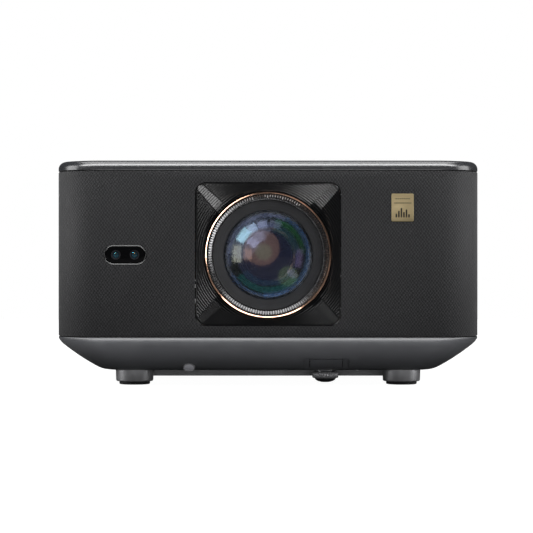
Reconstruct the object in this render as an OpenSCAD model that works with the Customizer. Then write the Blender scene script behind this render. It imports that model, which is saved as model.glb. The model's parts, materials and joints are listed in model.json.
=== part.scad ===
/* [Body] */
// Width of the body
body_w = 270; // [266:1:274]
// Depth of the body
body_d = 230; // [228:1:236]
// Height from the floor to the top of the lid
body_h = 144.5; // [144:0.5:146]
// Plan radius of the four upright corners
corner_r = 28; // [26:1:29]
// Height of the seam under the wrapped band
base_top = 32; // [31:0.5:33]
// Height of the flat underside of the base
base_bottom = 9.7; // [9.5:0.1:10]
// Height of the lid above the wrapped band
lid_h = 7.1; // [7:0.1:7.6]
// Thickness of the leatherette wrap
skin_t = 1; // [0.8:0.1:1.2]
// Wall thickness of the plastic housing
wall = 2.4; // [2.2:0.1:2.6]
// Width of the seams between the outer shells
seam = 0.4; // [0.3:0.1:0.5]

/* [Lens] */
// Height of the optical axis
lens_z = 84; // [83:0.5:85]
// Width of the square lens recess
recess_w = 92; // [91:0.5:93]
// Height of the square lens recess
recess_h = 89.6; // [89:0.2:90]
// Corner radius of the lens recess
recess_r = 6.7; // [6:0.1:8]
// Depth of the square funnel round the lens
recess_depth = 9; // [8:0.5:10]
// Outer radius of the copper trim ring
trim_r = 40; // [39.8:0.1:40.1]
// Radius of the front glass
glass_r = 28.4; // [28.2:0.1:28.5]
// Teeth on a full turn of the focus ring
ring_teeth = 84; // [84:14:84]
// Teeth on the focus pinion
pinion_teeth = 14; // [14:1:14]

/* [Front details] */
// Distance of the sensor window left of centre
sensor_x = 90.3; // [88:0.1:92]
// Width of the sensor window
sensor_w = 27.2; // [26:0.1:28]
// Height of the sensor window
sensor_h = 12.6; // [12:0.1:13]
// Distance between the two sensor cameras
camera_gap = 11.8; // [11:0.1:12.5]
// Distance of the badge right of centre
badge_x = 85; // [84:0.5:86]
// Height of the middle of the badge
badge_z = 113.8; // [112:0.2:115]
// Width of the badge
badge_w = 14; // [13:0.5:15]
// Height of the badge
badge_h = 17.6; // [17:0.2:18]
// Distance of the infrared window left of centre
ir_x = 50.8; // [48:0.1:54]

/* [Feet] */
// Distance of each foot from the middle, sideways
foot_x = 87; // [86:0.5:88]
// Distance of each foot from the middle, front to back
foot_y = 72; // [71:0.5:72]
// Radius of a foot cup at its top
foot_r = 12.4; // [12.1:0.05:12.5]
// Radius of a rubber pad
pad_r = 10; // [9.5:0.1:10.2]
// Distance of the elevator foot right of centre
elevator_x = 37.3; // [37:0.1:38]
// Travel of the elevator foot
elevator_travel = 22; // [18:1:24]

/* [Controls] */
// Travel of the keys on the lid
key_travel = 0.8; // [0.6:0.1:1]
// Radius of the small round keys
key_r = 5.5; // [5:0.1:6]

/* [Cooling and sound] */
// Side of the square exhaust fan
exhaust_size = 70; // [68:1:70]
// Side of the square intake fan
intake_size = 54; // [52:1:54]
// Number of fan blades
fan_blades = 7; // [5:1:9]
// Number of fins on the heat sink
fin_count = 16; // [12:1:18]
// Travel of a speaker cone each way
cone_travel = 2; // [1:0.5:2]

/* [Hidden] */
$fn = 64;

eps = 0.01;
gap = 0.2;          // assembly gap between fixed pieces
play = 0.3;         // gap round a moving key
run = 0.08;         // radial clearance of a running fit
front = -body_d / 2;
back = body_d / 2;
cover_z = body_h - lid_h;
inner_inset = skin_t + wall;

// Lens stations along the depth axis, front to back
recess_z = lens_z + 0.4;
funnel_angle = 26;
funnel_inset = recess_depth / tan(funnel_angle);
funnel_r = 8;
ring_front = front + 1.6;
hood_front = front + 7.2;
glass_edge = front + 11;
glass_apex = front + 5.2;
hood_back = front + 17;
barrel_back = -20.2;
barrel_r = 34.5;
bore_r = 30.6;
gear_y0 = -63;
gear_y1 = -56;
gear_module = 1;
pinion_dist = gear_module * (ring_teeth + pinion_teeth) / 2;
pinion_angle = 150;
pinion_x = pinion_dist * cos(pinion_angle);
pinion_z = lens_z + pinion_dist * sin(pinion_angle);
cell_y0 = -86;
cell_y1 = -62;

// Underside
plate_bottom = 4.6;
floor_top = base_bottom + 2.7;
cup_bottom = 2;
elevator_y = -74;
leg_r = 6.2;
slope_run = 27;
slope_drop = 22;
slope_angle = atan2(slope_drop, slope_run);
base_screw_x = 99;
base_screw_y = 50;
shelf_top = base_top + 2.8;
board_z = 38;
board_t = 1.6;

// Lid and keys
panel_w = 128;
panel_d = 36;
panel_y = -54;
panel_t = 2.2;
key_flange = 1.2;
nav_r = 13;
ok_r = 6;
power_x = -48;
volume_x = [34, 50];

// Rear
rear_w = 200;
rear_z0 = 37;
rear_z1 = 133;
rear_in = back - 3.4;
rear_screw_x = 93;
rear_screw_z = [rear_z0 + 6, rear_z1 - 6];
door_x = 50;
door_w = 72;
door_z0 = 69.4;
door_z1 = 130.4;
hinge_y = back - 2;
hinge_z = 72;
hinge_r = 2;
hinge_pin_r = 1.2;
inlet_x = -66;
inlet_z = 46;
port_z = board_z + board_t;
hdmi_x = [30, 50];
usb_x = 69;
jack_x = 82;
jack_r = 1.8;
jack_z = port_z + 3.6;

// Cooling
fan_x = -63;
fan_z = 88;
fan_t = 15;
fan_y0 = rear_in - fan_t;
intake_x = door_x;
intake_z = 101;
intake_t = 12;
intake_y0 = 95;
axle_r = 3;
pipe_r = 3;
pipe_y = 76;
pipe_z = [70, 84, 98];
sink_x0 = -100;
sink_x1 = -54;
sink_y0 = 48;
sink_y1 = 92;
sink_z0 = 54;
sink_z1 = 116;

// Sound
speaker_y = -28;
speaker_z = 84;
speaker_hole_r = 25;
grille_d = 78;
grille_h = 66;

// Optical engine
engine_w = 92;
engine_y0 = -20;
engine_y1 = 66;
engine_z0 = 52;
engine_z1 = 116;
engine_wall = 3;

// ---- Outlines ----------------------------------------------------------

function arc_points(x, y, r, start, steps) =
    [for (i = [0:steps]) [x + r * cos(start + 90 * i / steps), y + r * sin(start + 90 * i / steps)]];

function round_rect(w, h, r, steps = 8) = concat(
    arc_points(w / 2 - r, h / 2 - r, r, 0, steps),
    arc_points(r - w / 2, h / 2 - r, r, 90, steps),
    arc_points(r - w / 2, r - h / 2, r, 180, steps),
    arc_points(w / 2 - r, r - h / 2, r, 270, steps));

// Upright prism with rounded corners
module slab(w, d, r, z0, z1) {
    translate([0, 0, z0]) linear_extrude(z1 - z0) polygon(round_rect(w, d, r));
}

// The same prism lying along the depth axis
module slab_y(w, h, r, y0, y1) {
    translate([0, y1, 0]) rotate([90, 0, 0]) linear_extrude(y1 - y0) polygon(round_rect(w, h, r));
}

// The same prism lying along the width axis
module slab_x(d, h, r, x0, x1) {
    translate([x0, 0, 0]) rotate([90, 0, 90]) linear_extrude(x1 - x0) polygon(round_rect(d, h, r));
}

module rod_y(r, y0, y1) {
    translate([0, y0, 0]) rotate([-90, 0, 0]) cylinder(r = r, h = y1 - y0);
}

// Turned piece about the depth axis, from points of [radius, y]
module lathe_y(points) {
    rotate([-90, 0, 0]) rotate_extrude() polygon(points);
}

module block(low, high) {
    translate(low) cube(high - low);
}

// Outer skin of the body drawn in by a distance
module body_slab(inset, z0, z1) {
    slab(body_w - 2 * inset, body_d - 2 * inset, corner_r - inset, z0, z1);
}

// Convex shell through levels of [inset, height, corner radius]
module stacked(levels) {
    hull() for (l = levels)
        slab(body_w - 2 * l[0], body_d - 2 * l[0], l[2], l[1] - eps, l[1]);
}

module at_corners(x, y) {
    for (sx = [-1, 1], sy = [-1, 1]) translate([sx * x, sy * y, 0]) children();
}

module both_sides() {
    children();
    mirror([1, 0, 0]) children();
}

module at_lens() { translate([0, 0, lens_z]) children(); }

// Frame on the sloping front of the base: x along the slope sideways,
// y up the slope, z straight out of it, with the origin on its surface
module on_slope(x, z) {
    run_in = (base_top - z) * slope_run / slope_drop - 2.2;
    translate([x, front + run_in, z]) rotate([90 + 90 - slope_angle, 0, 0]) children();
}

// ---- Gear outline ------------------------------------------------------

pressure_angle = 20;

function unwind(base_r, r) =
    let (phi = acos(min(1, base_r / r))) tan(phi) * 180 / PI - phi;

// Half the angle of a tooth at a radius
function tooth_half(teeth, r, slack) =
    let (pitch_r = gear_module * teeth / 2, base_r = pitch_r * cos(pressure_angle))
    90 / teeth - slack / pitch_r * 180 / PI + unwind(base_r, pitch_r) - unwind(base_r, max(r, base_r));

function tooth_points(teeth, centre, slack) =
    let (
        pitch_r = gear_module * teeth / 2,
        root_r = pitch_r - 1.2 * gear_module,
        tip_r = pitch_r + 0.9 * gear_module,
        radii = [root_r - 0.4, root_r, pitch_r - 0.4 * gear_module, pitch_r + 0.3 * gear_module, tip_r],
        right = [for (r = radii) [r, centre - tooth_half(teeth, r, slack)]],
        left = [for (i = [len(radii) - 1:-1:0]) [radii[i], centre + tooth_half(teeth, radii[i], slack)]]
    )
    [for (p = concat(right, left)) p[0] * [cos(p[1]), sin(p[1])]];

tooth_slack = 0.07;

module tooth_bars(teeth, angles, y0, y1) {
    for (a = angles) translate([0, y1, 0]) rotate([90, 0, 0])
        linear_extrude(y1 - y0) polygon(tooth_points(teeth, a, tooth_slack));
}

// ---- Outer shells ------------------------------------------------------

lid_edge_r = 4.6;

module lid_solid(inset, drop) {
    edge = [for (a = [0:15:90]) [
        inset + lid_edge_r * (1 - cos(a)),
        body_h - 0.8 - drop - lid_edge_r * (1 - sin(a)),
        corner_r - inset - lid_edge_r * (1 - cos(a))]];
    crown = [[inset + 14, body_h - 0.3 - drop, corner_r - 12], [inset + 40, body_h - drop, corner_r - 16]];
    under = min(cover_z + seam / 2, edge[0][1] - 0.6);
    stacked(concat([[inset, under, corner_r - inset]], edge, crown));
}

module top_cover() {
    lip_z = cover_z - 3.4;
    color("#3a3b3d") difference() {
        union() {
            difference() {
                lid_solid(0, 0);
                difference() {
                    lid_solid(wall, wall);
                    at_corners(base_screw_x, base_screw_y) cylinder(r = 5, h = body_h);
                }
            }
            difference() {
                body_slab(inner_inset + play, lip_z, cover_z + 1.2);
                body_slab(inner_inset + play + 2, lip_z - 1, cover_z + 2);
            }
            body_ring_under_lid();
        }
        translate([0, panel_y, 0]) slab(panel_w + 2 * gap, panel_d + 2 * gap, 12, lip_z, body_h + 1);
    }
}

// Short shelf that ties the lip to the lid
module body_ring_under_lid() {
    difference() {
        body_slab(wall / 2, cover_z + seam / 2, cover_z + 1.4);
        body_slab(inner_inset + play + 2, cover_z - 1, cover_z + 2);
    }
}

module key_hole(x, r) {
    translate([x, panel_y, body_h - panel_t - 1]) cylinder(r = r + play, h = panel_t + 2);
}

module control_panel() {
    tray_floor = 1.4;
    tray_wall = 2;
    tray_z = ok_flange_z - key_travel - 2 * gap - tray_floor;
    color("#0c0c0e") difference() {
        translate([0, panel_y, 0]) slab(panel_w, panel_d, 12 - gap, tray_z, body_h);
        translate([0, panel_y, 0])
            slab(panel_w - 2 * tray_wall, panel_d - 2 * tray_wall, 10 - gap,
                tray_z + tray_floor, panel_under);
        key_hole(power_x, key_r + 1);
        key_hole(0, nav_r);
        for (x = volume_x) key_hole(x, key_r);
    }
}

module sensor_pill(grow, y0, y1) {
    translate([-sensor_x, 0, lens_z])
        slab_y(sensor_w + 2 * grow, sensor_h + 2 * grow, sensor_h / 2 + grow - eps, y0, y1);
}

module badge_block(grow, y0, y1) {
    translate([badge_x, 0, badge_z]) slab_y(badge_w + 2 * grow, badge_h + 2 * grow, 0.8, y0, y1);
}

// Openings shared by the wrap and the housing under it
module front_cuts() {
    recess_slab(-gap, recess_r + gap, front - 1, front + 10);
    sensor_pill(gap, front - 1, front + 10);
}

module rear_cut() {
    translate([0, 0, (rear_z0 + rear_z1) / 2])
        slab_y(rear_w + 2 * gap, rear_z1 - rear_z0 + 2 * gap, 6, back - 10, back + 1);
}

module wrap_skin() {
    color("#303032") difference() {
        body_slab(0, base_top + seam / 2, cover_z - seam / 2);
        body_slab(skin_t, base_top - 1, cover_z + 1);
        front_cuts();
        rear_cut();
        badge_block(gap, front - 1, front + skin_t + 0.1);
        both_sides() translate([0, speaker_y, speaker_z])
            slab_x(grille_d + 2 * gap, grille_h + 2 * gap, 10, body_w / 2 - skin_t - eps, body_w / 2 + 1);
    }
}

module mid_housing() {
    shelf_open_w = 186;
    shelf_open_d = 150;
    ear_h = 3.2;
    color("#1d1d1f") difference() {
        union() {
            difference() {
                body_slab(skin_t, base_top + seam / 2, cover_z - seam / 2);
                body_slab(inner_inset, shelf_top, cover_z + 1);
                slab(shelf_open_w, shelf_open_d, 12, base_top - 1, shelf_top + 1);
                block([-90, front + 14, base_top - 1], [90, 0, shelf_top + 1]);
            }
            at_corners(base_screw_x, base_screw_y)
                translate([0, 0, shelf_top - 1]) cylinder(r = 4.5, h = board_z - shelf_top + 1);
            both_sides() for (z = rear_screw_z)
                block([rear_screw_x - 3, rear_in - 4, z - ear_h],
                    [rear_screw_x + 13, rear_in + eps, z + ear_h]);
        }
        front_cuts();
        rear_cut_front();
        both_sides() translate([0, speaker_y, speaker_z])
            rotate([0, 90, 0]) cylinder(r = speaker_hole_r, h = body_w);
        at_corners(base_screw_x, base_screw_y)
            translate([0, 0, base_top - 1]) cylinder(r = screw_r, h = board_z - base_top + 0.4);
        at_rear_screws() rod_y(screw_r, rear_in - 3.4, rear_in + 1);
    }
}

module at_rear_screws() {
    for (sx = [-1, 1], z = rear_screw_z) translate([sx * rear_screw_x, 0, z]) children();
}

// Rear opening through the housing wall only, clear of the screw ears
module rear_cut_front() {
    translate([0, 0, (rear_z0 + rear_z1) / 2])
        slab_y(rear_w + 2 * gap, rear_z1 - rear_z0 + 2 * gap, 6, rear_in, back + 1);
}

// Inset and height of the base, from the seam down round the slope
base_levels = [
    [0, base_top - seam / 2, corner_r],
    [0.3, base_top - 1.6, corner_r],
    [1.5, base_top - 3.6, corner_r - 1],
    [3.6, base_top - 5.7, corner_r - 2],
    [8.6, base_top - 9.8, corner_r - 4],
    [14.8, base_top - 14.4, corner_r - 7],
    [20.2, base_top - 18, corner_r - 9],
    [24.5, base_top - 20.6, corner_r - 11],
    [27.6, base_bottom + 0.4, corner_r - 12],
    [30.4, base_bottom + eps, corner_r - 14]
];

base_cavity = [
    [2.8, base_top + 0.5, corner_r - 3],
    [5.5, base_top - 4.6, corner_r - 4],
    [29, floor_top + eps, corner_r - 14]
];

// Recess round the release tab
tab_w = 21;
tab_pocket_w = 29.6;
tab_z = 13.6;
tab_len = 8.6;
tab_t = 2.4;
tab_sink = 0.9;

module base_shell() {
    window_w = 96;
    window_d = 28;
    color("#2c2d2f") difference() {
        union() {
            difference() {
                stacked(base_levels);
                stacked(base_cavity);
            }
            at_corners(base_screw_x, base_screw_y)
                translate([0, 0, base_bottom + 1]) cylinder(r = 4.5, h = base_top - base_bottom - 1.2);
            at_corners(foot_x, foot_y)
                translate([0, 0, base_bottom + 1]) cylinder(r = 4, h = 7);
            translate([0, 0, base_bottom + 1]) cylinder(r = 9, h = 9);
        }
        at_corners(base_screw_x, base_screw_y) {
            translate([0, 0, base_bottom - 1]) cylinder(r = screw_r + 0.2, h = base_top);
            translate([0, 0, base_bottom - 1]) cylinder(r = screw_head_r + 0.2, h = head_pocket);
        }
        at_corners(foot_x, foot_y)
            translate([0, 0, base_bottom - 1]) cylinder(r = screw_r, h = 7.4);
        translate([0, 0, base_bottom - 1]) cylinder(r = insert_r + 0.05, h = 13);
        for (sy = [-1, 1]) translate([0, sy * window_y, 0])
            slab(window_w, window_d, 4, base_bottom - 1, floor_top + 1);
        translate([elevator_x, elevator_y, base_bottom - 1]) cylinder(r = leg_r + 2.3, h = floor_top);
        on_slope(elevator_x, tab_z) slab(tab_pocket_w, tab_len + 6, 1.6, -1.4, 6);
        on_slope(elevator_x, tab_z) slab(tab_w + 2 * play, tab_len + 2 * play, 0.8, -6, 6);
        on_slope(-ir_x, 11.6) cylinder(r = ir_r + 0.05, h = 8, center = true);
        translate([led_x, front + 31.6, base_bottom - 1]) cylinder(r = led_r + 0.05, h = 5);
        plate_screw_holes(base_bottom - 1, floor_top + 1);
    }
}

screw_r = 1.5;
screw_head_r = 2.8;
screw_head_h = 1.8;
head_pocket = screw_head_h + 1.4;
insert_r = 6;
ir_r = 4;
led_x = 57.7;
led_r = 0.8;
plate_screw_x = 74;
plate_screw_y = 42;
window_y = 30;

module plate_screw_holes(z0, z1) {
    at_corners(plate_screw_x, plate_screw_y) translate([0, 0, z0]) cylinder(r = screw_r, h = z1 - z0);
}

module bottom_plate() {
    plate_w = 176;
    plate_d = 116;
    slots = 13;
    slot_pitch = 6.6;
    color("#4c4d50") difference() {
        slab(plate_w, plate_d, 10, plate_bottom, base_bottom);
        translate([0, 0, plate_bottom - 1]) cylinder(r = insert_r + 0.05, h = base_bottom - plate_bottom + 2);
        for (sy = [-1, 1], i = [0:slots - 1])
            translate([(i - (slots - 1) / 2) * slot_pitch, sy * window_y, 0])
                slab(3, 24, 1.4, plate_bottom - 1, base_bottom + 1);
        plate_screw_holes(plate_bottom - 1, base_bottom + 1);
        at_corners(plate_screw_x, plate_screw_y)
            translate([0, 0, plate_bottom - 1]) cylinder(r = screw_head_r + 0.2, h = head_pocket);
    }
}

// ---- Feet and fasteners ------------------------------------------------

module foot_cups() {
    color("#5a5b5e") at_corners(foot_x, foot_y) rotate_extrude() polygon([
        [screw_r + 0.2, cup_bottom + 3.6], [screw_head_r + 0.2, cup_bottom + 3.6],
        [screw_head_r + 0.2, cup_bottom + 1.2], [pad_r + 0.1, cup_bottom + 1.2], [pad_r + 0.1, cup_bottom],
        [foot_r - 0.8, cup_bottom], [foot_r - 0.5, cup_bottom + 0.4],
        [foot_r, base_bottom], [screw_r + 0.2, base_bottom]]);
}

module foot_pads() {
    bevel = 0.5;
    color("#141414") at_corners(foot_x, foot_y) rotate_extrude() polygon([
        [0, 0], [pad_r - bevel, 0], [pad_r, bevel], [pad_r, cup_bottom + 1.2], [0, cup_bottom + 1.2]]);
}

module screw(length) {
    difference() {
        union() {
            cylinder(r = screw_head_r, h = screw_head_h);
            cylinder(r = screw_r - 0.05, h = length);
        }
        translate([0, 0, -eps]) cylinder(r = 1.5, h = 1, $fn = 6);
    }
}

module case_screws() {
    color("#8a8b8e") {
        at_corners(base_screw_x, base_screw_y)
            translate([0, 0, base_bottom + 0.2]) screw(board_z - base_bottom - 1);
        at_corners(foot_x, foot_y) translate([0, 0, cup_bottom + 1.8]) screw(11.6);
        at_corners(plate_screw_x, plate_screw_y)
            translate([0, 0, plate_bottom + 0.2]) screw(floor_top - plate_bottom - 0.4);
        at_rear_screws() translate([0, back - 0.2, 0]) rotate([90, 0, 0]) screw(6.4);
    }
}

module tripod_insert() {
    color("#b5a26a") translate([0, 0, plate_bottom]) difference() {
        cylinder(r = insert_r, h = 13);
        translate([0, 0, -1]) cylinder(r = 3.175, h = 12);
    }
}

// ---- Elevator foot -----------------------------------------------------

module at_elevator() { translate([elevator_x, elevator_y, 0]) children(); }

sleeve_top = 60;
leg_bottom = 8.2;
leg_grip = 26.8;
leg_top = leg_bottom + elevator_travel + leg_grip;
stud_r = 3;
stud_len = 18;

module elevator_sleeve() {
    color("#26272a") at_elevator() difference() {
        union() {
            translate([0, 0, base_bottom + gap])
                cylinder(r = leg_r + 2.2, h = sleeve_top - base_bottom - gap);
            translate([0, 0, 22]) cylinder(r = leg_r + 5, h = 3);
        }
        translate([0, 0, base_bottom - 1]) cylinder(r = leg_r + run, h = sleeve_top);
    }
}

// Ratchet grooves every few millimetres along the leg
module elevator_leg() {
    groove = 0.8;
    pitch = 3;
    grooves = 8;
    profile = concat(
        [[stud_r + run, leg_bottom], [leg_r - 0.5, leg_bottom], [leg_r, leg_bottom + 0.5]],
        [for (i = [0:grooves - 1]) for (p = [[0, 0], [-groove, groove], [-groove, pitch - 1], [0, pitch - 1]])
            [leg_r + p[0], leg_bottom + 20 + i * pitch + p[1]]],
        [[leg_r, leg_top - 0.5], [leg_r - 0.5, leg_top], [0, leg_top],
         [0, leg_bottom + stud_len + 1], [stud_r + run, leg_bottom + stud_len + 1]]);
    color("#9a9ba0") at_elevator() rotate_extrude() polygon(profile);
}

module elevator_knob() {
    knob_r = 8.5;
    knob_bottom = 4;
    tip_z = 1.3;
    flutes = 24;
    color("#55565a") at_elevator() difference() {
        union() {
            rotate_extrude() polygon([
                [0, tip_z], [2.4, tip_z], [4.6, tip_z + 0.7], [6.2, tip_z + 1.6], [6.8, knob_bottom],
                [knob_r - 0.4, knob_bottom], [knob_r, knob_bottom + 0.4],
                [knob_r, leg_bottom - 1], [knob_r - 0.6, leg_bottom - gap], [0, leg_bottom - gap]]);
            translate([0, 0, leg_bottom - 1]) cylinder(r = stud_r, h = stud_len);
        }
        for (i = [0:flutes - 1]) rotate([0, 0, i * 360 / flutes])
            translate([knob_r + 0.25, 0, knob_bottom - 1]) cylinder(r = 0.6, h = 5, $fn = 8);
    }
}

// Tab lying in the slope, with an arm that straddles the sleeve
module release_tab() {
    arm_z = 16.4;
    arm_t = 1.8;
    arm_w = 23.6;
    hole_r = leg_r + 2.2 + 3;
    tab_y = front + (base_top - tab_z) * slope_run / slope_drop - 2.2;
    color("#3b3c3f") {
        on_slope(elevator_x, tab_z)
            slab(tab_w, tab_len, 0.6, -tab_sink - tab_t, -tab_sink);
        difference() {
            translate([elevator_x, 0, 0])
                block([-arm_w / 2, tab_y + 4.4, arm_z], [arm_w / 2, elevator_y + hole_r + 3, arm_z + arm_t]);
            at_elevator() translate([0, 0, arm_z - 1]) cylinder(r = hole_r, h = arm_t + 2);
            on_slope(elevator_x, tab_z) slab(60, 60, 1, -tab_sink - tab_t + 0.6, 20);
        }
    }
}

// Bowed leaf spring behind the tab's arm
module release_spring() {
    bow_r = 14;
    leaf_t = 0.4;
    leaf_h = 4;
    leaf_y = elevator_y + leg_r + 2.2 + 3 + 3;
    color("#b9bcc2") translate([elevator_x, leaf_y + gap + bow_r, 15.2]) difference() {
        cylinder(r = bow_r, h = leaf_h);
        translate([0, 0, -1]) cylinder(r = bow_r - leaf_t, h = leaf_h + 2);
        block([-bow_r - 1, -bow_r + 5, -1], [bow_r + 1, bow_r + 1, leaf_h + 1]);
    }
}

// ---- Keys --------------------------------------------------------------

key_top = body_h + 0.5;
panel_under = body_h - panel_t;
flange_z = panel_under - key_flange - 0.1;
ok_flange_z = flange_z - key_travel - 0.1 - key_flange;

// Round key with a flange that stops it in the panel
module round_key(x, r) {
    translate([x, panel_y, 0]) {
        translate([0, 0, flange_z]) cylinder(r = r, h = key_top - flange_z);
        translate([0, 0, flange_z]) cylinder(r = r + 1.2, h = key_flange);
    }
}

module power_button() {
    color("#17171a") difference() {
        round_key(power_x, key_r + 1);
        translate([power_x, panel_y, key_top - 0.3]) difference() {
            cylinder(r = 3, h = 1);
            translate([0, 0, -1]) cylinder(r = 2.4, h = 3);
        }
    }
}

module ok_button() {
    color("#222226") translate([0, panel_y, 0]) {
        translate([0, 0, ok_flange_z]) cylinder(r = ok_r, h = key_top - ok_flange_z);
        translate([0, 0, ok_flange_z]) cylinder(r = ok_r + 1.2, h = key_flange);
    }
}

module nav_ring() {
    color("#17171a") difference() {
        round_key(0, nav_r);
        translate([0, panel_y, ok_flange_z]) cylinder(r = ok_r + play, h = key_top);
        for (a = [0:90:270]) translate([0, panel_y, 0]) rotate([0, 0, a])
            translate([nav_r - 3.2, 0, key_top - 0.25]) cylinder(r = 0.8, h = 1);
    }
}

module volume_key(x, bars) {
    difference() {
        round_key(x, key_r);
        for (a = bars) translate([x, panel_y, key_top]) rotate([0, 0, a])
            cube([4.4, 0.7, 0.5], center = true);
    }
}

module volume_down_button() { color("#17171a") volume_key(volume_x[0], [0]); }

module volume_up_button() { color("#17171a") volume_key(volume_x[1], [0, 90]); }

// ---- Lens group --------------------------------------------------------

// Outline of the square recess, drawn in by a distance
module recess_slab(inset, r, y0, y1) {
    translate([0, 0, recess_z]) slab_y(recess_w - 2 * inset, recess_h - 2 * inset, r, y0, y1);
}

module lens_bezel() {
    rim = 0.8;
    flange_y = front + skin_t + wall + 0.1;
    flange_t = 2;
    flange_w = 3;
    collar = 87;
    color("#0b0b0d") difference() {
        union() {
            recess_slab(0, recess_r, front, flange_y + flange_t);
            recess_slab(-flange_w, recess_r, flange_y, flange_y + flange_t);
            at_lens() slab_y(collar, collar, 8, flange_y, hood_back);
        }
        hull() {
            recess_slab(rim, recess_r - rim, front - 1, front + 0.3);
            recess_slab(rim + funnel_inset, funnel_r, front + recess_depth - eps, front + recess_depth);
        }
        at_lens() rod_y(trim_r + 0.15, front, hood_back + 1);
    }
}

module lens_trim_ring() {
    ring_t = 1.3;
    color("#c98f6a") at_lens() lathe_y([
        [trim_r - ring_t, ring_front + 0.5], [trim_r - ring_t + 0.4, ring_front],
        [trim_r - 0.4, ring_front], [trim_r, ring_front + 0.4],
        [trim_r, hood_back], [trim_r - ring_t, hood_back]]);
}

module index_ring() {
    outer = trim_r - 1.4;
    inner = 35;
    notches = 36;
    notch_len = 5;
    color("#1a1a1c") at_lens() difference() {
        lathe_y([
            [inner, ring_front + 1.2], [outer - 0.6, ring_front + 2.2], [outer, ring_front + 2.4],
            [outer, hood_back], [inner, hood_back]]);
        for (i = [0:notches - 1]) rotate([0, i * 360 / notches, 0])
            translate([(outer + inner) / 2, ring_front + 1.6, 0]) cube([notch_len, 2, 0.9], center = true);
    }
}

module lens_hood() {
    steps = 5;
    outer = 34.9;
    inner = glass_r + 0.2;
    step_r = (outer - 0.6 - inner) / steps;
    step_y = (glass_edge - hood_front) / steps;
    stairs = [for (i = [0:steps - 1]) for (j = [0:1])
        [outer - 0.6 - (i + j) * step_r, hood_front + i * step_y]];
    color("#232326") at_lens() lathe_y(concat(
        stairs,
        [[inner, hood_back], [outer, hood_back], [outer, hood_front]]));
}

module front_lens() {
    sag = glass_edge - glass_apex;
    ball_r = (glass_r * glass_r + sag * sag) / (2 * sag);
    hollow_r = 70;
    color("#2b3350") at_lens() difference() {
        intersection() {
            rod_y(glass_r, front, hood_back - 0.2);
            translate([0, glass_apex + ball_r, 0]) sphere(r = ball_r, $fn = 96);
        }
        translate([0, hood_back - 3 + hollow_r, 0]) sphere(r = hollow_r, $fn = 96);
    }
}

module lens_barrel() {
    color("#2a2a2d") at_lens() lathe_y([
        [bore_r, hood_back], [barrel_r, hood_back], [barrel_r, barrel_back - 4],
        [barrel_r + 4, barrel_back - 4], [barrel_r + 4, barrel_back], [bore_r, barrel_back]]);
}

module focus_cell() {
    seat_r = 27.1;
    color("#38383c") at_lens() lathe_y([
        [seat_r - 2, cell_y0], [bore_r - run, cell_y0], [bore_r - run, cell_y1], [seat_r, cell_y1],
        [seat_r, cell_y0 + 1.6], [seat_r - 2, cell_y0 + 1.6]]);
}

module focus_lens() {
    lens_r = 27;
    edge_y0 = cell_y0 + 1.8;
    edge_y1 = edge_y0 + 12;
    ball_r = 90;
    sag = ball_r - sqrt(ball_r * ball_r - lens_r * lens_r);
    color("#b8c8d8") at_lens() intersection() {
        rod_y(lens_r, edge_y0, edge_y1);
        translate([0, edge_y0 - sag + 4.4 + ball_r, 0]) sphere(r = ball_r, $fn = 96);
    }
}

module focus_ring() {
    steps = 14;
    tooth_angle = 360 / ring_teeth;
    color("#d8d4c8") at_lens() union() {
        difference() {
            rod_y(gear_module * ring_teeth / 2 - 1.3 * gear_module, gear_y0, gear_y1);
            rod_y(barrel_r + run, gear_y0 - 1, gear_y1 + 1);
        }
        tooth_bars(ring_teeth, [for (i = [-steps:steps]) pinion_angle + i * tooth_angle], gear_y0, gear_y1);
    }
}

module focus_pinion() {
    tooth_angle = 360 / pinion_teeth;
    first = pinion_angle + 180 + tooth_angle / 2;
    color("#e6e2d6") translate([pinion_x, 0, pinion_z]) difference() {
        union() {
            rod_y(gear_module * pinion_teeth / 2 - 1.3 * gear_module, gear_y0 - 1, gear_y1 + 1);
            tooth_bars(pinion_teeth, [for (i = [0:pinion_teeth - 1]) first + i * tooth_angle],
                gear_y0 + 0.5, gear_y1 - 0.5);
        }
        rod_y(1.5 + run, gear_y0 - 2, gear_y1 + 2);
    }
}

module focus_motor() {
    can_r = 10;
    color("#a7a9ad") translate([pinion_x, 0, pinion_z]) {
        rod_y(can_r, gear_y1 + 2, barrel_back - 4);
        rod_y(1.5, gear_y0 - 3, gear_y1 + 3);
        block([-can_r, barrel_back - 6, -4], [can_r + 4, barrel_back - 4, 4]);
    }
}

// ---- Front window pieces -----------------------------------------------

module sensor_frame() {
    rim = 0.9;
    color("#101012") difference() {
        sensor_pill(0, front - 0.2, front + 7);
        sensor_pill(-rim, front - 1, front + 8);
    }
}

module sensor_window() {
    color("#1a1d24") sensor_pill(-1, front + 0.3, front + 1.3);
}

module sensor_cameras() {
    barrel = 3.6;
    color("#20232c") for (s = [-1, 1])
        translate([s * camera_gap / 2 - sensor_x, 0, lens_z]) difference() {
            rod_y(barrel, front + 1.6, front + 7);
            rod_y(2.2, front + 1, front + 3);
        }
}

module badge_plate() {
    divider_z = 3;
    color("#cdb988") difference() {
        badge_block(0, front - 0.3, front + skin_t);
        translate([badge_x, front - 0.3, badge_z + divider_z]) cube([badge_w - 2, 0.3, 0.5], center = true);
    }
}

module ir_window() {
    color("#5c5c64") on_slope(-ir_x, 11.6) translate([0, 0, -3]) cylinder(r = ir_r, h = 2.8);
}

module status_led() {
    color("#d8dadd") translate([led_x, front + 31.6, base_bottom - 0.3]) cylinder(r = led_r, h = 2.6);
}

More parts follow.
